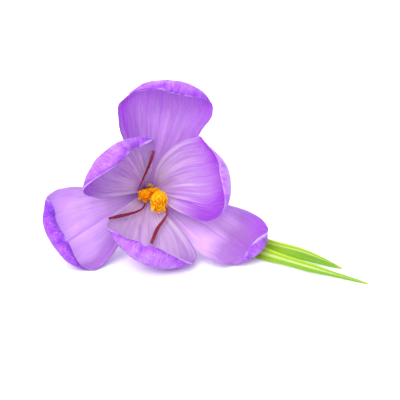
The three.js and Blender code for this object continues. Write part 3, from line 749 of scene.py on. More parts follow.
# %% The route and the section of a leaf
LEAF_ROUTES = {
    "leaf_near": [
        [-7.6, 34.1, 3.4], [-3.3, 26.2, 3.4], [8, 10, 3], [25, -10, 2.7], [44, -26.2, 2.4], [64, -40.4, 2],
        [86, -52.2, 0.45],
    ],
    "leaf_far": [
        [-5.5, 35.2, 3.4], [-1.2, 27.4, 3.4], [12, 13, 3.3], [30, -5, 3.2], [47.9, -21.1, 3],
        [62.5, -30, 2.6], [77.3, -38.4, 0.45],
    ],
}
LEAF_HALF_WIDTH, LEAF_BASE_SHARE, LEAF_TIP_SHARE = 2.6, 0.7, 0.09
LEAF_BROAD_FROM = 0.25  # the share of the length from which it has its full width
LEAF_POINT_FROM, LEAF_POINT_OVER = 0.988, 0.012  # shares of the length where its end is rounded off
LEAF_TAPERS = {"leaf_near": (0.62, 1.7), "leaf_far": (0.74, 2.0)}  # the share it tapers from, and how late
LEAF_CHANNEL = 0.25  # how deep the channel is, as a share of the half width
LEAF_TILT = (75, 45)  # degrees that it stands on edge, at its base and at its tip
LEAF_STRIPES = {"leaf_near": (0.05, 0.34), "leaf_far": (0.42, 0.1)}  # the pale stripe's middle and half width
STRIPE_EVEN = 0.3  # of its half width, before it starts to fade
LEAF_ROWS, LEAF_COLUMNS = 300, 65
LEAF_RUN = 100  # mm, about the length of a leaf, for the lengths of its waves
LEAF_WAVE, LEAF_SWAY = (0.25, 26), (0.12, 17)  # height and length in mm, of the face and of the margins
CHANNEL_ROUNDING, CHANNEL_DROP = 0.03, 0.17  # a rounded |v| is the root of v^2 plus one, less the other
MARGIN_BACK, MARGIN_BACK_FROM, MARGIN_BACK_OVER = 0.12, 0.78, 0.3  # shares of the half width
RIDGE_HEIGHT, RIDGE_TURNS = 0.03, 42
KEEL_DEPTH, KEEL_WIDTH = 0.55, 0.22
RIDGES_FULL, SWAY_FULL = 1.5, 2  # mm of half width from which the ridges and the sway are at their full
LEAF_RIM, LEAF_BODY, LEAF_THIN_SHARE = 0.25, 0.35, 0.4  # mm at the rim, mm more inside, and over what share
LEAF_LIFT = 0.35  # mm from the floor to the middle of the blade, where it lies down


def leaf_line(name, u):
    """The line along a leaf, the direction across it and the one out of its channel. It stands on edge by a
    tilt that changes from base to tip by an S-step."""
    route = over_floor(LEAF_ROUTES[name])
    path = curve_through(route, u * (len(route) - 1))
    ahead = unit(np.gradient(path, axis=0))
    level = unit(np.cross(UP, ahead))
    tilt = np.radians(between(*LEAF_TILT, ease(u)))[:, None]
    side = np.cos(tilt) * level + np.sin(tilt) * np.cross(ahead, level)
    return path[:, None], side[:, None], np.cross(ahead, side)[:, None]


def leaf_half_width(name, u):
    """It broadens from the base by an S-step, tapers by a power of the share past where its taper starts, and
    ends in a quarter of an ellipse."""
    start, late = LEAF_TAPERS[name]
    taper = between(1, LEAF_TIP_SHARE, ((u - start) / (1 - start)).clip(0) ** late)
    point = np.sqrt(np.clip(1 - ((u - LEAF_POINT_FROM) / LEAF_POINT_OVER).clip(0) ** 2, 0.02, 1))
    return LEAF_HALF_WIDTH * between(LEAF_BASE_SHARE, 1, ease(u / LEAF_BROAD_FROM)) * taper * point


def make_leaf(name, seed):
    """Across the leaf, the height is the channel times |v|, rounded at the middle and turned back at the
    margins; fine ridges follow a cosine of |v|. The keel is extra thickness, all of it on the back."""
    u = np.linspace(0, 1, LEAF_ROWS)
    v = np.linspace(-1, 1, LEAF_COLUMNS)[None, :]
    line, side, inner = leaf_line(name, u)
    half = leaf_half_width(name, u)[:, None]
    run = u[:, None] * LEAF_RUN
    full = ease(half / RIDGES_FULL)
    channel = LEAF_CHANNEL * half * (np.sqrt(v**2 + CHANNEL_ROUNDING) - CHANNEL_DROP)
    rise = channel - MARGIN_BACK * half * ease((np.abs(v) - MARGIN_BACK_FROM) / MARGIN_BACK_OVER)
    rise = rise + RIDGE_HEIGHT * np.cos(np.abs(v) * RIDGE_TURNS) * full + swell(run, v, LEAF_WAVE, seed)
    across = v * (half + swell(run, 0, LEAF_SWAY, seed + 1) * ease(half / SWAY_FULL))
    keel = KEEL_DEPTH * bump_at(v, 0, KEEL_WIDTH) * ease(half / LEAF_HALF_WIDTH)
    grid = line + side * across[..., None] + inner * (rise - keel / 2)[..., None]
    grid[..., 2] = np.maximum(grid[..., 2], LEAF_LIFT)
    thick = LEAF_RIM + LEAF_BODY * ease((1 - np.abs(v)) / LEAF_THIN_SHARE) * full + keel
    strip = np.stack(np.broadcast_arrays(v, u[:, None]), -1)
    middle, reach = LEAF_STRIPES[name]
    stripe = 1 - ease((np.abs(v - middle) - STRIPE_EVEN * reach) / reach)
    return add_blade(name + "_blade", grid, thick, strip, stripe=stripe)


leaf_blades = {name: make_leaf(name, 100 + k) for k, name in enumerate(LEAF_ROUTES)}
print("leaves:", list(leaf_blades))


# %% Leaf finish
def paint_leaf(tree):
    """Yellow green at the base to a deeper green near the tip, with a pale stripe, a lime upper margin, a
    lower margin darkened as painted shade, fine parallel veins and a pale point; the back is duller."""
    across, along = blade_map(tree)
    outer = attribute(tree, "outer")
    fine = streaks(tree, across, along, 16.0, 3.0, 4.0, 4.0)
    broad = streaks(tree, across, along, 2.5, 5.0, 7.0, 2.0)
    green = ramp(
        tree, along, (0.0, colour(209, 222, 108)), (0.25, colour(198, 226, 46)), (0.62, colour(180, 216, 40)),
        (0.84, colour(128, 178, 46)), (0.97, colour(112, 164, 56)), (1.0, colour(206, 206, 96)))
    green = mixed(tree, spread(tree, broad, 0.35, 0.65, 0.0, 0.35), green, colour(154, 204, 36))
    # Painted shade: the lower margin, turned away from the light, is darker green.
    green = mixed(tree, spread(tree, across, 0.0, -0.95, 0.0, 0.5), green, colour(112, 168, 30))
    green = mixed(tree, spread(tree, across, 0.5, 0.95, 0.0, 0.6), green, colour(204, 228, 48))
    green = mixed(tree, spread(tree, fine, 0.5, 0.7, 0.0, 0.3), green, colour(220, 236, 92))
    green = mixed(tree, spread(tree, fine, 0.48, 0.3, 0.0, 0.38), green, colour(110, 166, 30))
    stripe = maths(tree, "MULTIPLY", attribute(tree, "stripe"), spread(tree, fine, 0.2, 0.5, 0.6, 1.0))
    stripe = maths(tree, "MULTIPLY", stripe, spread(tree, along, 0.98, 0.8, 0.3, 0.85))
    inside = mixed(tree, stripe, green, colour(226, 240, 150))
    outside = mixed(tree, 0.35, green, colour(141, 182, 77))
    return mixed(tree, outer, inside, outside), bump(tree, fine, 0.1, 0.7)


leaf_green = tissue("leaf_tissue", paint_leaf, 0.25, Roughness=0.45, Specular_IOR_Level=0.3)
for name, blade in leaf_blades.items():
    dress(blade, leaf_green, "leaf", name)

# %% [markdown]
# ## Tube and sheath
#
# Below the tepals a crocus has no stalk but a long pale tube, which widens like a funnel to carry them. It
# is one skin here: up the wall of the pit in its mouth, over its lip and down its outside, with six faint
# flutes where the tepals run into it. Its foot goes into a papery sheath with the leaves.

# %% The tube
RIM_RADIUS, NECK_RADIUS = 5.4, 2.0
FUNNEL_SHARE, FUNNEL_POWER = 0.4, 1.5  # the funnel's share of the tube's length, and how fast it falls off
BEHIND_THROAT = (0.5, 8, 16)  # mm behind the throat, where the tube's straight stretch passes
TUBE_ROUTE = [[-4.4, 19, 4.1], [-6.7, 25, 3.4], [-10.6, 32.4, 3.4]]
FLUTES, FLUTE_DEPTH, FLUTE_TURN = 6, 0.16, 1.2  # mm deep, and radians that they are turned by
TUBE_LUMPS = (0.05, 4)
PIT_RADIUS, PIT_FOOT_RADIUS, PIT_DEPTH, PIT_TOP = 2.9, 2.65, 7, 0.6
LIP_DEPTHS = [0.5, 0.35, 0, -0.25, -0.35, -0.2, 0.1]  # under the throat, from the pit outwards over the lip
LIP_RADII = [2.95, 3.3, 4.6, 4.9, 5.1, 5.3, 5.4]
TUBE_ROWS, TUBE_SIDES, PIT_ROWS = 170, 96, 20


def make_tube():
    """The outside has its neck's radius plus a funnel that falls off as (1 - S-step)^1.5. Six flutes are a
    cosine of six times the turn, and fade along the funnel."""
    straight = in_flower([[0, 0, -far] for far in BEHIND_THROAT])
    path = smooth_path([*straight, *over_floor(TUBE_ROUTE)], TUBE_ROWS)
    side, up = frames_along(path)
    share = np.linspace(0, 1, TUBE_ROWS)
    funnel = (1 - ease(share / FUNNEL_SHARE)) ** FUNNEL_POWER
    turn = turns(TUBE_SIDES)
    flutes = FLUTE_DEPTH * funnel[:, None] * np.cos(FLUTES * turn + FLUTE_TURN)
    outside = between(NECK_RADIUS, RIM_RADIUS, funnel)[:, None] + flutes
    outside = outside + swell(turn * 9, share[:, None] * 30, TUBE_LUMPS, 5)
    depth = np.concatenate([np.linspace(PIT_DEPTH, PIT_TOP, PIT_ROWS), LIP_DEPTHS])
    radius = np.concatenate([np.linspace(PIT_FOOT_RADIUS, PIT_RADIUS, PIT_ROWS), LIP_RADII])
    mouth = in_flower(np.stack([0 * depth, 0 * depth, -depth], -1))
    centres = np.vstack([mouth, path])
    sides = np.vstack([np.repeat(side[:1], len(depth), 0), side])
    ups = np.vstack([np.repeat(up[:1], len(depth), 0), up])
    radii = np.vstack([np.repeat(radius[:, None], TUBE_SIDES, 1), outside])
    down_tube = np.concatenate([np.zeros(len(depth)), share])[:, None]
    rings = rings_round(centres, sides, ups, radii, TUBE_SIDES)
    return add_rod("perianth_tube_skin", rings, down=down_tube)


def paint_tube(tree):
    """Lilac at the rim to a greenish white at the foot, with violet veins that run down from the tepals."""
    around, _ = blade_map(tree)
    down = attribute(tree, "down")
    veins = streaks(tree, around, down, 22.0, 2.5, 6.0, 4.0)
    base = ramp(
        tree, down, (0.0, colour(190, 154, 198)), (0.12, colour(190, 154, 216)),
        (0.34, colour(214, 203, 226)), (0.6, colour(222, 220, 212)), (1.0, colour(218, 220, 197)))
    reach = spread(tree, down, 0.55, 0.0, 0.0, 0.5)
    faded = maths(tree, "MULTIPLY", spread(tree, veins, 0.5, 0.36), reach)
    return mixed(tree, faded, base, colour(149, 98, 197)), bump(tree, veins, 0.1, 0.6)


waxy = tissue("tube_tissue", paint_tube, 0.2, Roughness=0.45, Specular_IOR_Level=0.4)
dress(make_tube(), waxy, "tube", "perianth_tube")

# %% [markdown]
# The sheath is made of dry, papery sleeves, one in the other, wrinkled lengthwise and torn at the mouth.
# Inside them the bases of the leaves and the tube are packed into one pale core, which shows at the cut
# foot. A sleeve is a section carried from the mouth to the foot, as on the solid, and the inner one reaches
# a little further out.

# %% The sleeves and their core
SHEATH_MOUTH, SHEATH_FOOT = np.array([-4.8, 26.5]), np.array([-19, 52])
MOUTH_HALF_WIDTH, MOUTH_HALF_HEIGHT = 6.2, 3.8
FOOT_HALF_WIDTH, FOOT_HALF_HEIGHT = 2.8, 2.2
SHEATH_SLANT, SHEATH_SUNK = 2, 0.15
SHEATH_LIFT = 0.2  # mm from the floor to the middle of a sleeve, where it is pressed flat
SHEATH_AHEAD = np.append(SHEATH_FOOT - SHEATH_MOUTH, 0) / np.linalg.norm(SHEATH_FOOT - SHEATH_MOUTH)


def on_sheath(u, turn, scale):
    """A place on the sheath: a level ellipse at the share u from mouth to foot, leant back at its top, and
    pressed flat where it lies on the floor. scale shrinks it about its middle."""
    half_wide = between(MOUTH_HALF_WIDTH, FOOT_HALF_WIDTH, ease(u))
    half_high = between(MOUTH_HALF_HEIGHT, FOOT_HALF_HEIGHT, ease(u))
    middle = between(SHEATH_MOUTH, SHEATH_FOOT, u[..., None])
    middle = over_floor(np.concatenate([middle, (half_high - SHEATH_SUNK)[..., None]], -1))
    sideways = np.cross(UP, SHEATH_AHEAD) * (half_wide * scale * np.cos(turn))[..., None]
    upwards = UP * (half_high * scale * np.sin(turn))[..., None]
    leant = SHEATH_AHEAD * (SHEATH_SLANT * (1 - u) * np.sin(turn))[..., None]
    points = middle + sideways + upwards + leant
    points[..., 2] = np.maximum(points[..., 2], SHEATH_LIFT)
    return points


# the waves of a sleeve, as their height and length in shares of its size: two of its torn edge, two of its
# wrinkles, and how far its mouth flares
RAGGED, TEETH = (0.03, 5), (0.012, 4)
WRINKLES, CREASES = (0.022, 5), (0.012, 5)
FLARE_HEIGHT, FLARE_SHARE = 0.05, 0.12
TEAR_PLACE, TEAR_WIDTH = 2.0, 0.12  # radians on from the seam, and how wide the deep tear is
SLEEVE_TURNS, SLEEVE_SPIRAL = 1.06, (0.985, 1.03)  # how far it wraps round, and its scale from end to end
SLEEVE_ROWS, SLEEVE_COLUMNS, SLEEVE_THICKNESS = 90, 220, 0.16

# scale, reach beyond the mouth, depth of the tear, place of the seam in degrees, and seed
SLEEVES = {
    "sheath_outer_sleeve": (1.0, 0.0, 0.22, 60, 41),
    "sheath_inner_sleeve": (0.93, 0.09, 0.12, 200, 51),
}


def make_sleeve(name):
    """The sleeve starts at u = minus its reach plus a ragged edge of noise and one deep tear, and wraps a
    little more than once round. Its wrinkles are noise round it, stretched along it."""
    scale, reach, tear, seam, seed = SLEEVES[name]
    s = np.linspace(0, 1, SLEEVE_ROWS)[:, None]
    turn = np.radians(seam) + np.linspace(0, FULL_TURN * SLEEVE_TURNS, SLEEVE_COLUMNS)[None, :]
    ragged = swell(turn * 4, 0, RAGGED, seed) + swell(turn * 30, 0, TEETH, seed + 1)
    ragged = ragged + tear * bump_at(np.sin((turn - np.radians(seam) - TEAR_PLACE) / 2), 0, TEAR_WIDTH)
    u = between(ragged - reach, 1.0, s)
    wrap = scale * between(*SLEEVE_SPIRAL, np.linspace(0, 1, SLEEVE_COLUMNS))[None, :]
    wrinkles = swell(turn * 14, s * 5, WRINKLES, seed + 2) + swell(turn * 40, s * 9, CREASES, seed + 3)
    flare = FLARE_HEIGHT * (1 - ease(s / FLARE_SHARE)) * wavy(turn * 2, 0, 5, seed + 4)
    grid = on_sheath(u, np.broadcast_to(turn, u.shape), wrap + wrinkles + flare)
    strip = np.stack(np.broadcast_arrays(turn / FULL_TURN, s), -1)
    return add_blade(name, grid, SLEEVE_THICKNESS, strip)


CORE_ROWS, CORE_SIDES, CORE_SCALE, CORE_LUMPS = 60, 72, 0.93, (0.02, 5)
CORE_FROM, CORE_TO = 0.24, 1.005
CORE_NOSE = [0.16, 0.17, 0.2], [0.3, 0.62, 0.84]  # the shares and the scales of its rounded start
CORE_CUT = [1.008], [0.85]  # and of the edge of its foot


def make_core():
    """A closed rod inside the sleeves, from a sixth of the way in to just past their foot."""
    u = np.concatenate([CORE_NOSE[0], np.linspace(CORE_FROM, CORE_TO, CORE_ROWS), CORE_CUT[0]])
    scale = np.concatenate([CORE_NOSE[1], np.full(CORE_ROWS, CORE_SCALE), CORE_CUT[1]])[:, None]
    turn = turns(CORE_SIDES)[None, :]
    scale = scale + swell(turn * 9, u[:, None] * 9, CORE_LUMPS, 71)
    grid = on_sheath(np.broadcast_to(u[:, None], scale.shape), np.broadcast_to(turn, scale.shape), scale)
    return add_rod("sheath_core", grid[:, ::-1], down=u[:, None])


def paint_sheath(pale, tan, fibre):
    """Blotches of two shades, with fibres along them and a dry edge in the third."""

    def paint(tree):
        around, along = blade_map(tree)
        fibres = streaks(tree, around, along, 130.0, 3.0, 2.0, 4.0)
        blotch = streaks(tree, around, along, 6.0, 3.0, 8.0, 3.0)
        shade = mixed(tree, spread(tree, blotch, 0.35, 0.65), pale, tan)
        shade = mixed(tree, spread(tree, fibres, 0.5, 0.34, 0.0, 0.7), shade, fibre)
        shade = mixed(tree, spread(tree, along, 0.06, 0.0, 0.0, 0.6), shade, fibre)
        return shade, bump(tree, fibres, 0.15, 0.8)

    return paint


def paint_core(tree):
    """Layers of greenish white and pale green."""
    around, _ = blade_map(tree)
    layers = streaks(tree, around, attribute(tree, "down"), 14.0, 2.0, 3.0, 3.0)
    shade = mixed(tree, spread(tree, layers, 0.35, 0.65), colour(238, 238, 214), colour(206, 218, 158))
    return shade, bump(tree, layers, 0.15, 0.7)


papery = {"Roughness": 0.7, "Specular_IOR_Level": 0.3}
paint_dry = paint_sheath(colour(232, 220, 186), colour(206, 180, 132), colour(150, 112, 70))
paint_fresh = paint_sheath(colour(240, 240, 222), colour(222, 226, 186), colour(182, 186, 130))
sleeve_finishes = [
    tissue("papery_sleeve", paint_dry, 0.3, **papery),
    tissue("pale_sleeve", paint_fresh, 0.4, **papery),
]
for name, finish in zip(SLEEVES, sleeve_finishes):
    dress(make_sleeve(name), finish, "sheath", "sheath")
dress(make_core(), tissue("core_tissue", paint_core, 0.15, Roughness=0.5), "sheath", "sheath")

# %% [markdown]
# ## The style head
#
# In the middle stands the style, which ends here in a thick frilled head like a marigold: short funnels of
# orange tissue, filled to the brim with their own crumpled folds. A cloth could be crumpled for it, but
# folds that are packed so tightly only show as ridges with crimped tops. So each lobe is one closed skin: up
# the outside of the funnel, over its scalloped rim and across its face, where the ridges are cosines of the
# distance from the rim, pushed about by noise.

# %% Frilled lobes
STYLE_ROUTE = [[0, 0, -6.4], [0, 0, 2], [-0.3, -0.8, 5], [-1.3, -1.9, 9.2]]
STYLE_RADIUS, STYLE_SWELL = 0.8, 0.4
COLUMN_ROWS, COLUMN_SIDES = 70, 24
NECK_ROWS, FACE_ROWS, LOBE_SIDES = 30, 110, 320
LOBE_FLARE, FACE_REACH_IN = 1.9, 0.97  # the power by which a neck widens, and how far in the face's rows go
GATHERED_UP = 0.22  # of the face's height, by which its middle sits above that of its rim

TOOTH_ROUNDING, TOOTH_MEAN = 0.7, 0.7  # a tooth is a sine to this power, and about so high on average

# on the rim: the depth of a scallop in mm, and how far the scallops wander round and differ in depth
SCALLOP_DEPTH, SCALLOP_WANDER, SCALLOP_VARIES = 0.42, 0.7, 0.4
RIM_FORWARD, RIM_SUNK = 1.4, 0.25  # how much of the rim's sway points forwards, and mm that it lies back

# on the face: how far noise pushes the ridges, in ridges, and over what length in mm; how rounded a ridge
# is; and how deep the crimps of its top are in mm, how far they wander, and how far they shear from rim to
# middle
CRUMPLE, RIDGE_ROUNDING = (0.5, 3.8), 0.8
CRIMP_DEPTH, CRIMP_WANDER, CRIMP_SHEAR = 0.3, 1.6, 4
# The lobes behind the front one are painted deeper as shade, since they stand in its shade.
BEHIND_PAINTED_SHADE = 0.16  # how much deeper in tone the lobes behind the front one are
SHALLOW_FOLDS = 0.45  # how deep the folds are at the top of a face, as a share of the others

# where the middle of its face is, half its width and height, how far that is turned, how far the face
# bulges, its scallops, how far its rim sways, and its folds: mm from ridge to ridge, and from a ridge down
# to a groove
LOBES = {
    "style_lobe_front": ([3.0, -9.6, 17.8], 3.8, 5.2, -8, 1.0, 19, 0.45, (1.5, 1.1)),
    "style_lobe_upper": ([-0.4, -4.0, 12.8], 4.0, 1.7, -14, 0.9, 9, 0.3, (2.1, 0.55)),
    "style_lobe_left": ([-3.0, -5.9, 12.6], 2.6, 3.0, 20, 1.2, 10, 0.4, (1.9, 0.6)),
}


def lobe_frame(start, end, tilt):
    """The unit directions of a lobe: ahead, and across its face to the side and up, turned by its tilt."""
    ahead = unit(end - start)
    level = unit(np.cross(ahead, UP))
    upright = np.cross(level, ahead)
    side = np.cos(np.radians(tilt)) * level + np.sin(np.radians(tilt)) * upright
    up = np.cos(np.radians(tilt)) * upright - np.sin(np.radians(tilt)) * level
    return ahead, side, up


def rounded_teeth(angle):
    """A row of blunt teeth from 0 to 1, which is the absolute sine of the angle to the power 0.7."""
    return np.abs(np.sin(angle)) ** TOOTH_ROUNDING


def lobe_folds(wide, tall, scallops, spacing, share, turn, seed):
    """Ridges from 0 to 1 across a face, the crimps along their tops, and the distance from the rim in mm. A
    ridge is the absolute cosine of that distance in ridges, pushed about by noise, to the power 0.8."""
    x, y = np.cos(turn), np.sin(turn)
    from_rim = (1 - share) * np.hypot(wide * x, tall * y)
    crumpled = swell(share * wide * x, share * tall * y, CRUMPLE, seed + 3) * ease(from_rim / 1.2)
    ridge = np.abs(np.cos(np.pi * (from_rim / spacing + crumpled))) ** RIDGE_ROUNDING
    ridge = between(1, ridge, between(SHALLOW_FOLDS, 1, ease(0.5 - y * 0.7)))
    wander = CRIMP_WANDER * wavy(x, y, 1.1, seed + 4)
    return ridge, rounded_teeth(scallops / 2 * turn + wander + CRIMP_SHEAR * share), from_rim


def lobe_grid(start, end, wide, tall, tilt, bulge, scallops, sway, folds, seed):
    """Rows run up the neck, where the reach is the face's size times u^1.9, then from the rim to the middle
    of the face. The rim sways and is cut into scallops; both fade with the square of the reach."""
    ahead, side, up = lobe_frame(start, end, tilt)
    neck = np.linspace(0, 1, NECK_ROWS)
    inwards = np.linspace(0, 1, FACE_ROWS + 1)[1:]
    share = np.concatenate([neck**LOBE_FLARE, 1 - FACE_REACH_IN * inwards])[:, None]
    on_face = np.concatenate([np.zeros(NECK_ROWS), np.ones(FACE_ROWS)])[:, None]
    turn = turns(LOBE_SIDES)[None, :]
    x, y = np.cos(turn), np.sin(turn)
    scallop = rounded_teeth(scallops / 2 * turn + SCALLOP_WANDER * wavy(x, y, 1.1, seed))
    uneven = 1 + SCALLOP_VARIES * wavy(x, y, 0.7, seed + 2)
    rim = sway * wavy(x, y, 1.0, seed + 1) + SCALLOP_DEPTH * (scallop - TOOTH_MEAN) * uneven

    spacing, depth = folds
    ridge, crimp, from_rim = lobe_folds(wide, tall, scallops, spacing, share, turn, seed)
    ridge = between(1, ridge, on_face)
    crimped = CRIMP_DEPTH * (crimp - TOOTH_MEAN) * ridge * ease(from_rim / 0.8)
    face = bulge * (1 - share**2) - depth * (1 - ridge) + crimped
    climb = np.concatenate([neck, np.ones(FACE_ROWS)])[:, None] * (np.linalg.norm(end - start) - bulge)
    height = climb + on_face * face + (RIM_FORWARD * rim - RIM_SUNK) * share**4
    narrow = STYLE_RADIUS * (1 - on_face) * (1 - share)
    wide_reach = np.maximum(wide * share, narrow) + rim * share**2
    tall_reach = np.maximum(tall * share, narrow) + rim * share**2
    gathered = tall_reach * y + GATHERED_UP * tall * on_face * (1 - share**2)
    grid = start + ahead * height[..., None] + side * (wide_reach * x)[..., None] + up * gathered[..., None]
    # Painted light and shade: deep in the neck and in the grooves of the face, lighter on the tops of the
    # ridges, on the crimps and at the scallops of the rim.
    outside_painted_light_and_shade = 0.55 * share + 0.3 * scallop * share**2
    return grid, between(outside_painted_light_and_shade, 0.36 + 0.52 * ridge + 0.12 * crimp * ridge, on_face)


def make_lobe(name, seed):
    """A lobe from the top of the style to its face, with its painted light and shade. Those behind the front
    lobe are painted deeper, as shade.
    """
    middle, *shape = LOBES[name]
    grid, painted_light_and_shade = lobe_grid(in_flower(STYLE_ROUTE[-1]), in_flower(middle), *shape, seed)
    return add_rod(name, grid, rim=painted_light_and_shade - (0 if name == "style_lobe_front" else BEHIND_PAINTED_SHADE))


def make_style():
    """A round column that swells by 1 + 0.4 u^4 up to the lobes."""
    path = smooth_path(in_flower(STYLE_ROUTE), COLUMN_ROWS)
    u = np.linspace(0, 1, COLUMN_ROWS)
    radius = STYLE_RADIUS * (1 + STYLE_SWELL * u**4)
    rings = rings_round(path, *frames_along(path), radius, COLUMN_SIDES)
    return add_rod("style_column", rings, rim=0.3 * u[:, None])


lobes = [make_lobe(name, 20 + 30 * k) for k, name in enumerate(LOBES)]
style_column = make_style()
print("frilled lobes:", len(lobes))


# %% Style finish
def paint_style(tree):
    """Deep orange in the neck and in the grooves as painted shade, and golden along the tops of the folds as
    painted highlight, with a little grain.
    """
    # The rim attribute holds the painted light and shade; a little grain varies it.
    painted_light_and_grain = maths(tree, "ADD", attribute(tree, "rim"), spread(tree, grain(tree, 700.0), 0.3, 0.7, -0.04, 0.04))
    shade = ramp(
        tree, painted_light_and_grain, (0.2, colour(246, 118, 6)), (0.5, colour(255, 142, 2)), (0.72, colour(255, 168, 4)),
        (0.9, colour(255, 190, 8)), (1.0, colour(255, 214, 44)))
    return shade, bump(tree, grain(tree, 2600.0), 0.1, 0.7)


fleshy = {"Subsurface_Weight": 0.3, "Subsurface_Radius": (1.0, 0.75, 0.3), "Subsurface_Scale": MM}
style_orange = tissue("style_tissue", paint_style, 0.15, Roughness=0.6, Specular_IOR_Level=0.1, **fleshy)
for lobe in [*lobes, style_column]:
    dress(lobe, style_orange, "style_head", "style_head")

# %% [markdown]
# ## Stigma branches and stamens
#
# Three crimson threads rise from the throat: each is thin at its foot, widens to a narrow trumpet and ends
# in a notched mouth. They are rods whose skin turns over the rim and a little way down inside. The three
# stamens stand round the style, each a pale filament under a long anther of two pollen sacs.

# %% The branches
BRANCH_ROUTES = {
    "stigma_branch_upper": [
        [-1.1, -1.3, -5], [-1.3, -1.6, 1], [-3.4, -4.6, 7.6], [-4.7, -4.6, 10.2], [-5, -2, 10.7],
        [-3.6, 1.7, 10.8], [-2.6, 4, 13.8], [-1.6, 6.1, 19.1], [-1.2, 7.6, 22.8], [-0.7, 9.5, 25.3],
    ],
    "stigma_branch_left": [
        [0, -1.8, -5], [-0.2, -2, 1], [-1.5, -5.8, 7.1], [-3.3, -10, 11], [-7.2, -13.3, 15.3],
        [-13, -16.6, 21], [-17.7, -19.1, 25.8],
    ],
    "stigma_branch_lower": [
        [1.8, 0.7, -5], [1.9, 0.6, 2], [2.1, 0.3, 6.5], [2.8, -2.8, 10.8], [4.8, -8.2, 13.7],
        [6.4, -12.1, 14.2], [4.9, -15.5, 13.8], [2.4, -19.3, 14.5], [-0.2, -25.9, 16.8],
    ],
}
BRANCH_FOOT, BRANCH_BROADEST, BRANCH_MOUTH = 0.27, 0.62, 0.5
BRANCH_WIDENS_FROM, BRANCH_WIDENS_OVER, BRANCH_CLOSES_FROM = 0.42, 0.46, 0.88
BRANCH_OVAL, BRANCH_RIDGES, BRANCH_RIDGE_HEIGHT = 0.2, 7, 0.06  # heights as shares of the radius
BRANCH_TWIST, BRANCH_LUMPS = 5, (0.05, 3)
BRANCH_ROWS, BRANCH_SIDES, MOUTH_ROWS = 260, 26, 12
MOUTH_NARROWS = (0.7, 0.25)  # the share of the skin's radius, from the rim to the last row inside
NOTCHES, NOTCH_DEPTH, NICKS, NICK_DEPTH = 3, 0.28, 8, 0.16  # how many round the mouth, and mm deep
NOTCH_ROWS = 5  # over which they fade


def branch_skin(u, turn, seed):
    """The radius widens and closes by S-steps, flattened by a cosine of twice the turn, with fine ridges."""
    radius = between(BRANCH_FOOT, BRANCH_BROADEST, ease((u - BRANCH_WIDENS_FROM) / BRANCH_WIDENS_OVER))
    radius -= (BRANCH_BROADEST - BRANCH_MOUTH) * ease((u - BRANCH_CLOSES_FROM) / (1 - BRANCH_CLOSES_FROM))
    twist = u[:, None] * BRANCH_TWIST + seed
    ridges = BRANCH_RIDGE_HEIGHT * np.cos(BRANCH_RIDGES * turn + 2 * twist)
    skin = radius[:, None] * (1 + BRANCH_OVAL * np.cos(2 * turn + twist) + ridges)
    return skin + swell(turn * 2, u[:, None] * 60, BRANCH_LUMPS, seed)


def make_branch(name, seed):
    """At the mouth the skin turns in, and rows go back down the path with a shrinking radius. The mouth's
    notches are sines of the turn that push it back and forth, and fade by e to the minus rows from it."""
    path = smooth_path(in_flower(BRANCH_ROUTES[name]), BRANCH_ROWS)
    side, up = frames_along(path)
    u = np.linspace(0, 1, BRANCH_ROWS)
    turn = turns(BRANCH_SIDES)[None, :]
    skin = branch_skin(u, turn, seed)
    rows_back = np.arange(BRANCH_ROWS - 1, BRANCH_ROWS - 1 - MOUTH_ROWS, -1)
    inward = np.linspace(*MOUTH_NARROWS, MOUTH_ROWS)[:, None]
    order = np.concatenate([np.arange(BRANCH_ROWS), rows_back])
    radii = np.vstack([skin, skin[rows_back] * inward])
    grid = rings_round(path[order], side[order], up[order], radii, BRANCH_SIDES)
    notch = NOTCH_DEPTH * np.sin(NOTCHES * turn + seed) + NICK_DEPTH * np.sin(NICKS * turn)
    from_mouth = np.abs(np.arange(len(order)) - BRANCH_ROWS + 0.5)
    near_mouth = np.exp(-from_mouth / NOTCH_ROWS)[:, None]
    ahead = unit(np.gradient(path, axis=0))[order]
    grid = grid + ahead[:, None] * (notch * near_mouth)[..., None]
    return add_rod(name + "_thread", grid, along_thread=u[order][:, None])


def paint_branch(tree):
    """Crimson, paler at the foot, darker towards the broad end and along some of the fine streaks."""
    around, _ = blade_map(tree)
    along = attribute(tree, "along_thread")
    fine = streaks(tree, around, along, 9.0, 24.0, 1.0, 4.0)
    shade = ramp(
        tree, along, (0.0, colour(196, 84, 70)), (0.2, colour(164, 32, 56)), (0.6, colour(150, 20, 46)),
        (0.9, colour(124, 14, 34)), (1.0, colour(150, 26, 40)))
    shade = mixed(tree, spread(tree, fine, 0.45, 0.3, 0.0, 0.6), shade, colour(76, 10, 32))
    shade = mixed(tree, spread(tree, fine, 0.55, 0.75, 0.0, 0.35), shade, colour(188, 44, 64))
    return shade, bump(tree, fine, 0.1, 0.8)


crimson = tissue("stigma_tissue", paint_branch, 0.12, Roughness=0.4, Specular_IOR_Level=0.5)
for seed, name in enumerate(BRANCH_ROUTES):
    dress(make_branch(name, 80 + seed), crimson, "stigma", name)

# %% The stamens
STAMEN_AZIMUTHS = (82, 185, 322)
STAMEN_SPACING, STAMEN_FLARE = 1.85, 0.5
FILAMENT_RADIUS, ANTHER_RADIUS = 0.36, 0.75
STAMEN_FROM, STAMEN_TO = -6, 4.5
ANTHER_FROM, ANTHER_SWELLS_OVER, ANTHER_ROUNDS_FROM = 0.5, 0.06, 0.9
SAC_GROOVE, POLLEN_HEIGHT = 0.28, 0.035
STAMEN_ROWS, STAMEN_SIDES = 120, 32


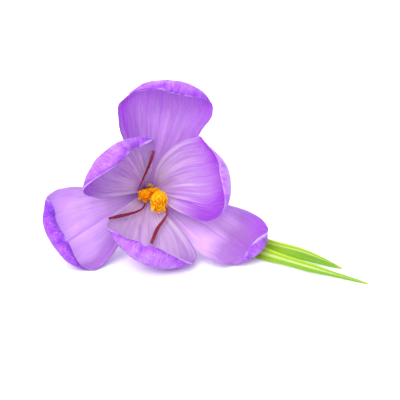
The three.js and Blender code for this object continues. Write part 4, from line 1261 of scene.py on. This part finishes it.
def make_stamen(name, azimuth, seed):
    """The filament's radius swells to the anther's by an S-step and rounds off at the end. The groove between
    the anther's two sacs takes 0.28 of the radius times (1 - |cosine of the turn|)^2 off it."""
    outward = np.array([np.cos(np.radians(azimuth)), np.sin(np.radians(azimuth)), 0])
    radii = (STAMEN_SPACING, STAMEN_SPACING, STAMEN_SPACING + STAMEN_FLARE)
    way_points = [outward * r + [0, 0, h] for r, h in zip(radii, (STAMEN_FROM, 0, STAMEN_TO))]
    path = smooth_path(in_flower(way_points), STAMEN_ROWS)
    u = np.linspace(0, 1, STAMEN_ROWS)
    turn = turns(STAMEN_SIDES)[None, :]
    anther = ease((u - ANTHER_FROM) / ANTHER_SWELLS_OVER)
    past = ((u - ANTHER_ROUNDS_FROM) / (1 - ANTHER_ROUNDS_FROM)).clip(0)
    rounded = np.sqrt(np.clip(1 - past**2, 0.03, 1))
    radius = between(FILAMENT_RADIUS, ANTHER_RADIUS, anther) * rounded
    sacs = 1 - SAC_GROOVE * anther[:, None] * (1 - np.abs(np.cos(turn))) ** 2
    grains = POLLEN_HEIGHT * anther[:, None] * wavy(turn * 4, u[:, None] * 50, 1.4, seed)
    grid = rings_round(path, *frames_along(path), radius[:, None] * sacs + grains, STAMEN_SIDES)
    return add_rod(name + "_thread", grid, anther=anther[:, None])


def paint_stamen(tree):
    """A pale filament and a golden anther covered in pollen grains."""
    pollen = grain(tree, 3500.0, 2.0)
    sac = mixed(tree, spread(tree, pollen, 0.4, 0.62), colour(246, 170, 30), colour(255, 214, 80))
    shade = mixed(tree, attribute(tree, "anther"), colour(240, 226, 186), sac)
    return shade, bump(tree, pollen, 0.15, 0.9)


golden = tissue("stamen_tissue", paint_stamen, 0.1, Roughness=0.75, Specular_IOR_Level=0.25)
for k, azimuth in enumerate(STAMEN_AZIMUTHS):
    name = f"stamen_{k + 1}"
    dress(make_stamen(name, azimuth, 90 + k), golden, "stamen", name)

# %% [markdown]
# ## Studio
#
# The flower lies on a plain white floor in soft, even light. A white world gives most of it, so that shadows
# stay faint, and two wide lamps give the blades some shape. The floor is no part of the flower.


# %% Floor and light
FLOOR_REACH = 4000.0  # mm to each side
SKY_STRENGTH = 0.92


def paint_floor(tree):
    """White, with the faintest mottling."""
    shade = mixed(tree, grain(tree, 40.0), colour(250, 250, 250), colour(252, 252, 252))
    return shade, bump(tree, grain(tree, 300.0), 0.02, 0.1)


def make_floor():
    corners = np.array([[-1, -1, 0], [1, -1, 0], [1, 1, 0], [-1, 1, 0]]) * FLOOR_REACH
    floor = add_mesh("studio_floor", corners, np.array([[0, 1, 2, 3]]))
    floor.data.materials.append(tissue("studio_floor", paint_floor, 0.0, Roughness=0.9))


def add_lamp(name, place, size, watts):
    """A square lamp of a size in metres, aimed at the origin from a place in metres."""
    lamp = bpy.data.lights.new(name, "AREA")
    lamp.energy, lamp.size = watts, size
    holder = bpy.data.objects.new(name, lamp)
    holder.location = Vector(place)
    holder.rotation_euler = (-holder.location).to_track_quat("-Z", "Y").to_euler()
    bpy.context.scene.collection.objects.link(holder)


make_floor()
add_lamp("lamp_front_left", (-0.25, -0.55, 0.6), 0.9, 8.4)
add_lamp("lamp_behind", (0.05, 0.6, 0.55), 0.8, 4.4)
world = bpy.data.worlds.new("studio_world")
world.use_nodes = True
sky = world.node_tree.nodes["Background"]
sky.inputs["Color"].default_value = (1, 1, 1, 1)
sky.inputs["Strength"].default_value = SKY_STRENGTH
bpy.context.scene.world = world
bpy.context.scene.view_settings.view_transform = "Standard"

# %% [markdown]
# ## Camera
#
# The camera looks down on the flower by 22 degrees from far enough away to flatten it a little, as a long
# lens does. Its distance follows from the scale of the picture at the throat, and its aim from the throat's
# place.

# %% The camera
FOCAL_LENGTH, SENSOR_WIDTH = 100, 36
CAMERA_ELEVATION = np.radians(22)
PICTURE_SIDE, PIXELS_PER_MM = 400, 2.4
throat_pixel = (148, 193)

towards_camera = np.array([0, -np.cos(CAMERA_ELEVATION), np.sin(CAMERA_ELEVATION)])
picture_up = np.array([0, np.sin(CAMERA_ELEVATION), np.cos(CAMERA_ELEVATION)])
distance = PICTURE_SIDE * FOCAL_LENGTH / SENSOR_WIDTH / PIXELS_PER_MM
off_middle = (PICTURE_SIDE / 2 - np.array(throat_pixel)) / PIXELS_PER_MM
aim = THROAT + np.array([1, 0, 0]) * off_middle[0] - picture_up * off_middle[1]
camera = bpy.data.objects.new("camera", bpy.data.cameras.new("camera"))
camera.data.lens, camera.data.sensor_width = FOCAL_LENGTH, SENSOR_WIDTH
camera.location = Vector((aim + towards_camera * distance) * MM)
camera.rotation_euler = (-Vector(towards_camera)).to_track_quat("-Z", "Y").to_euler()
bpy.context.scene.collection.objects.link(camera)
bpy.context.scene.camera = camera
print("the camera stands", round(distance), "mm away")
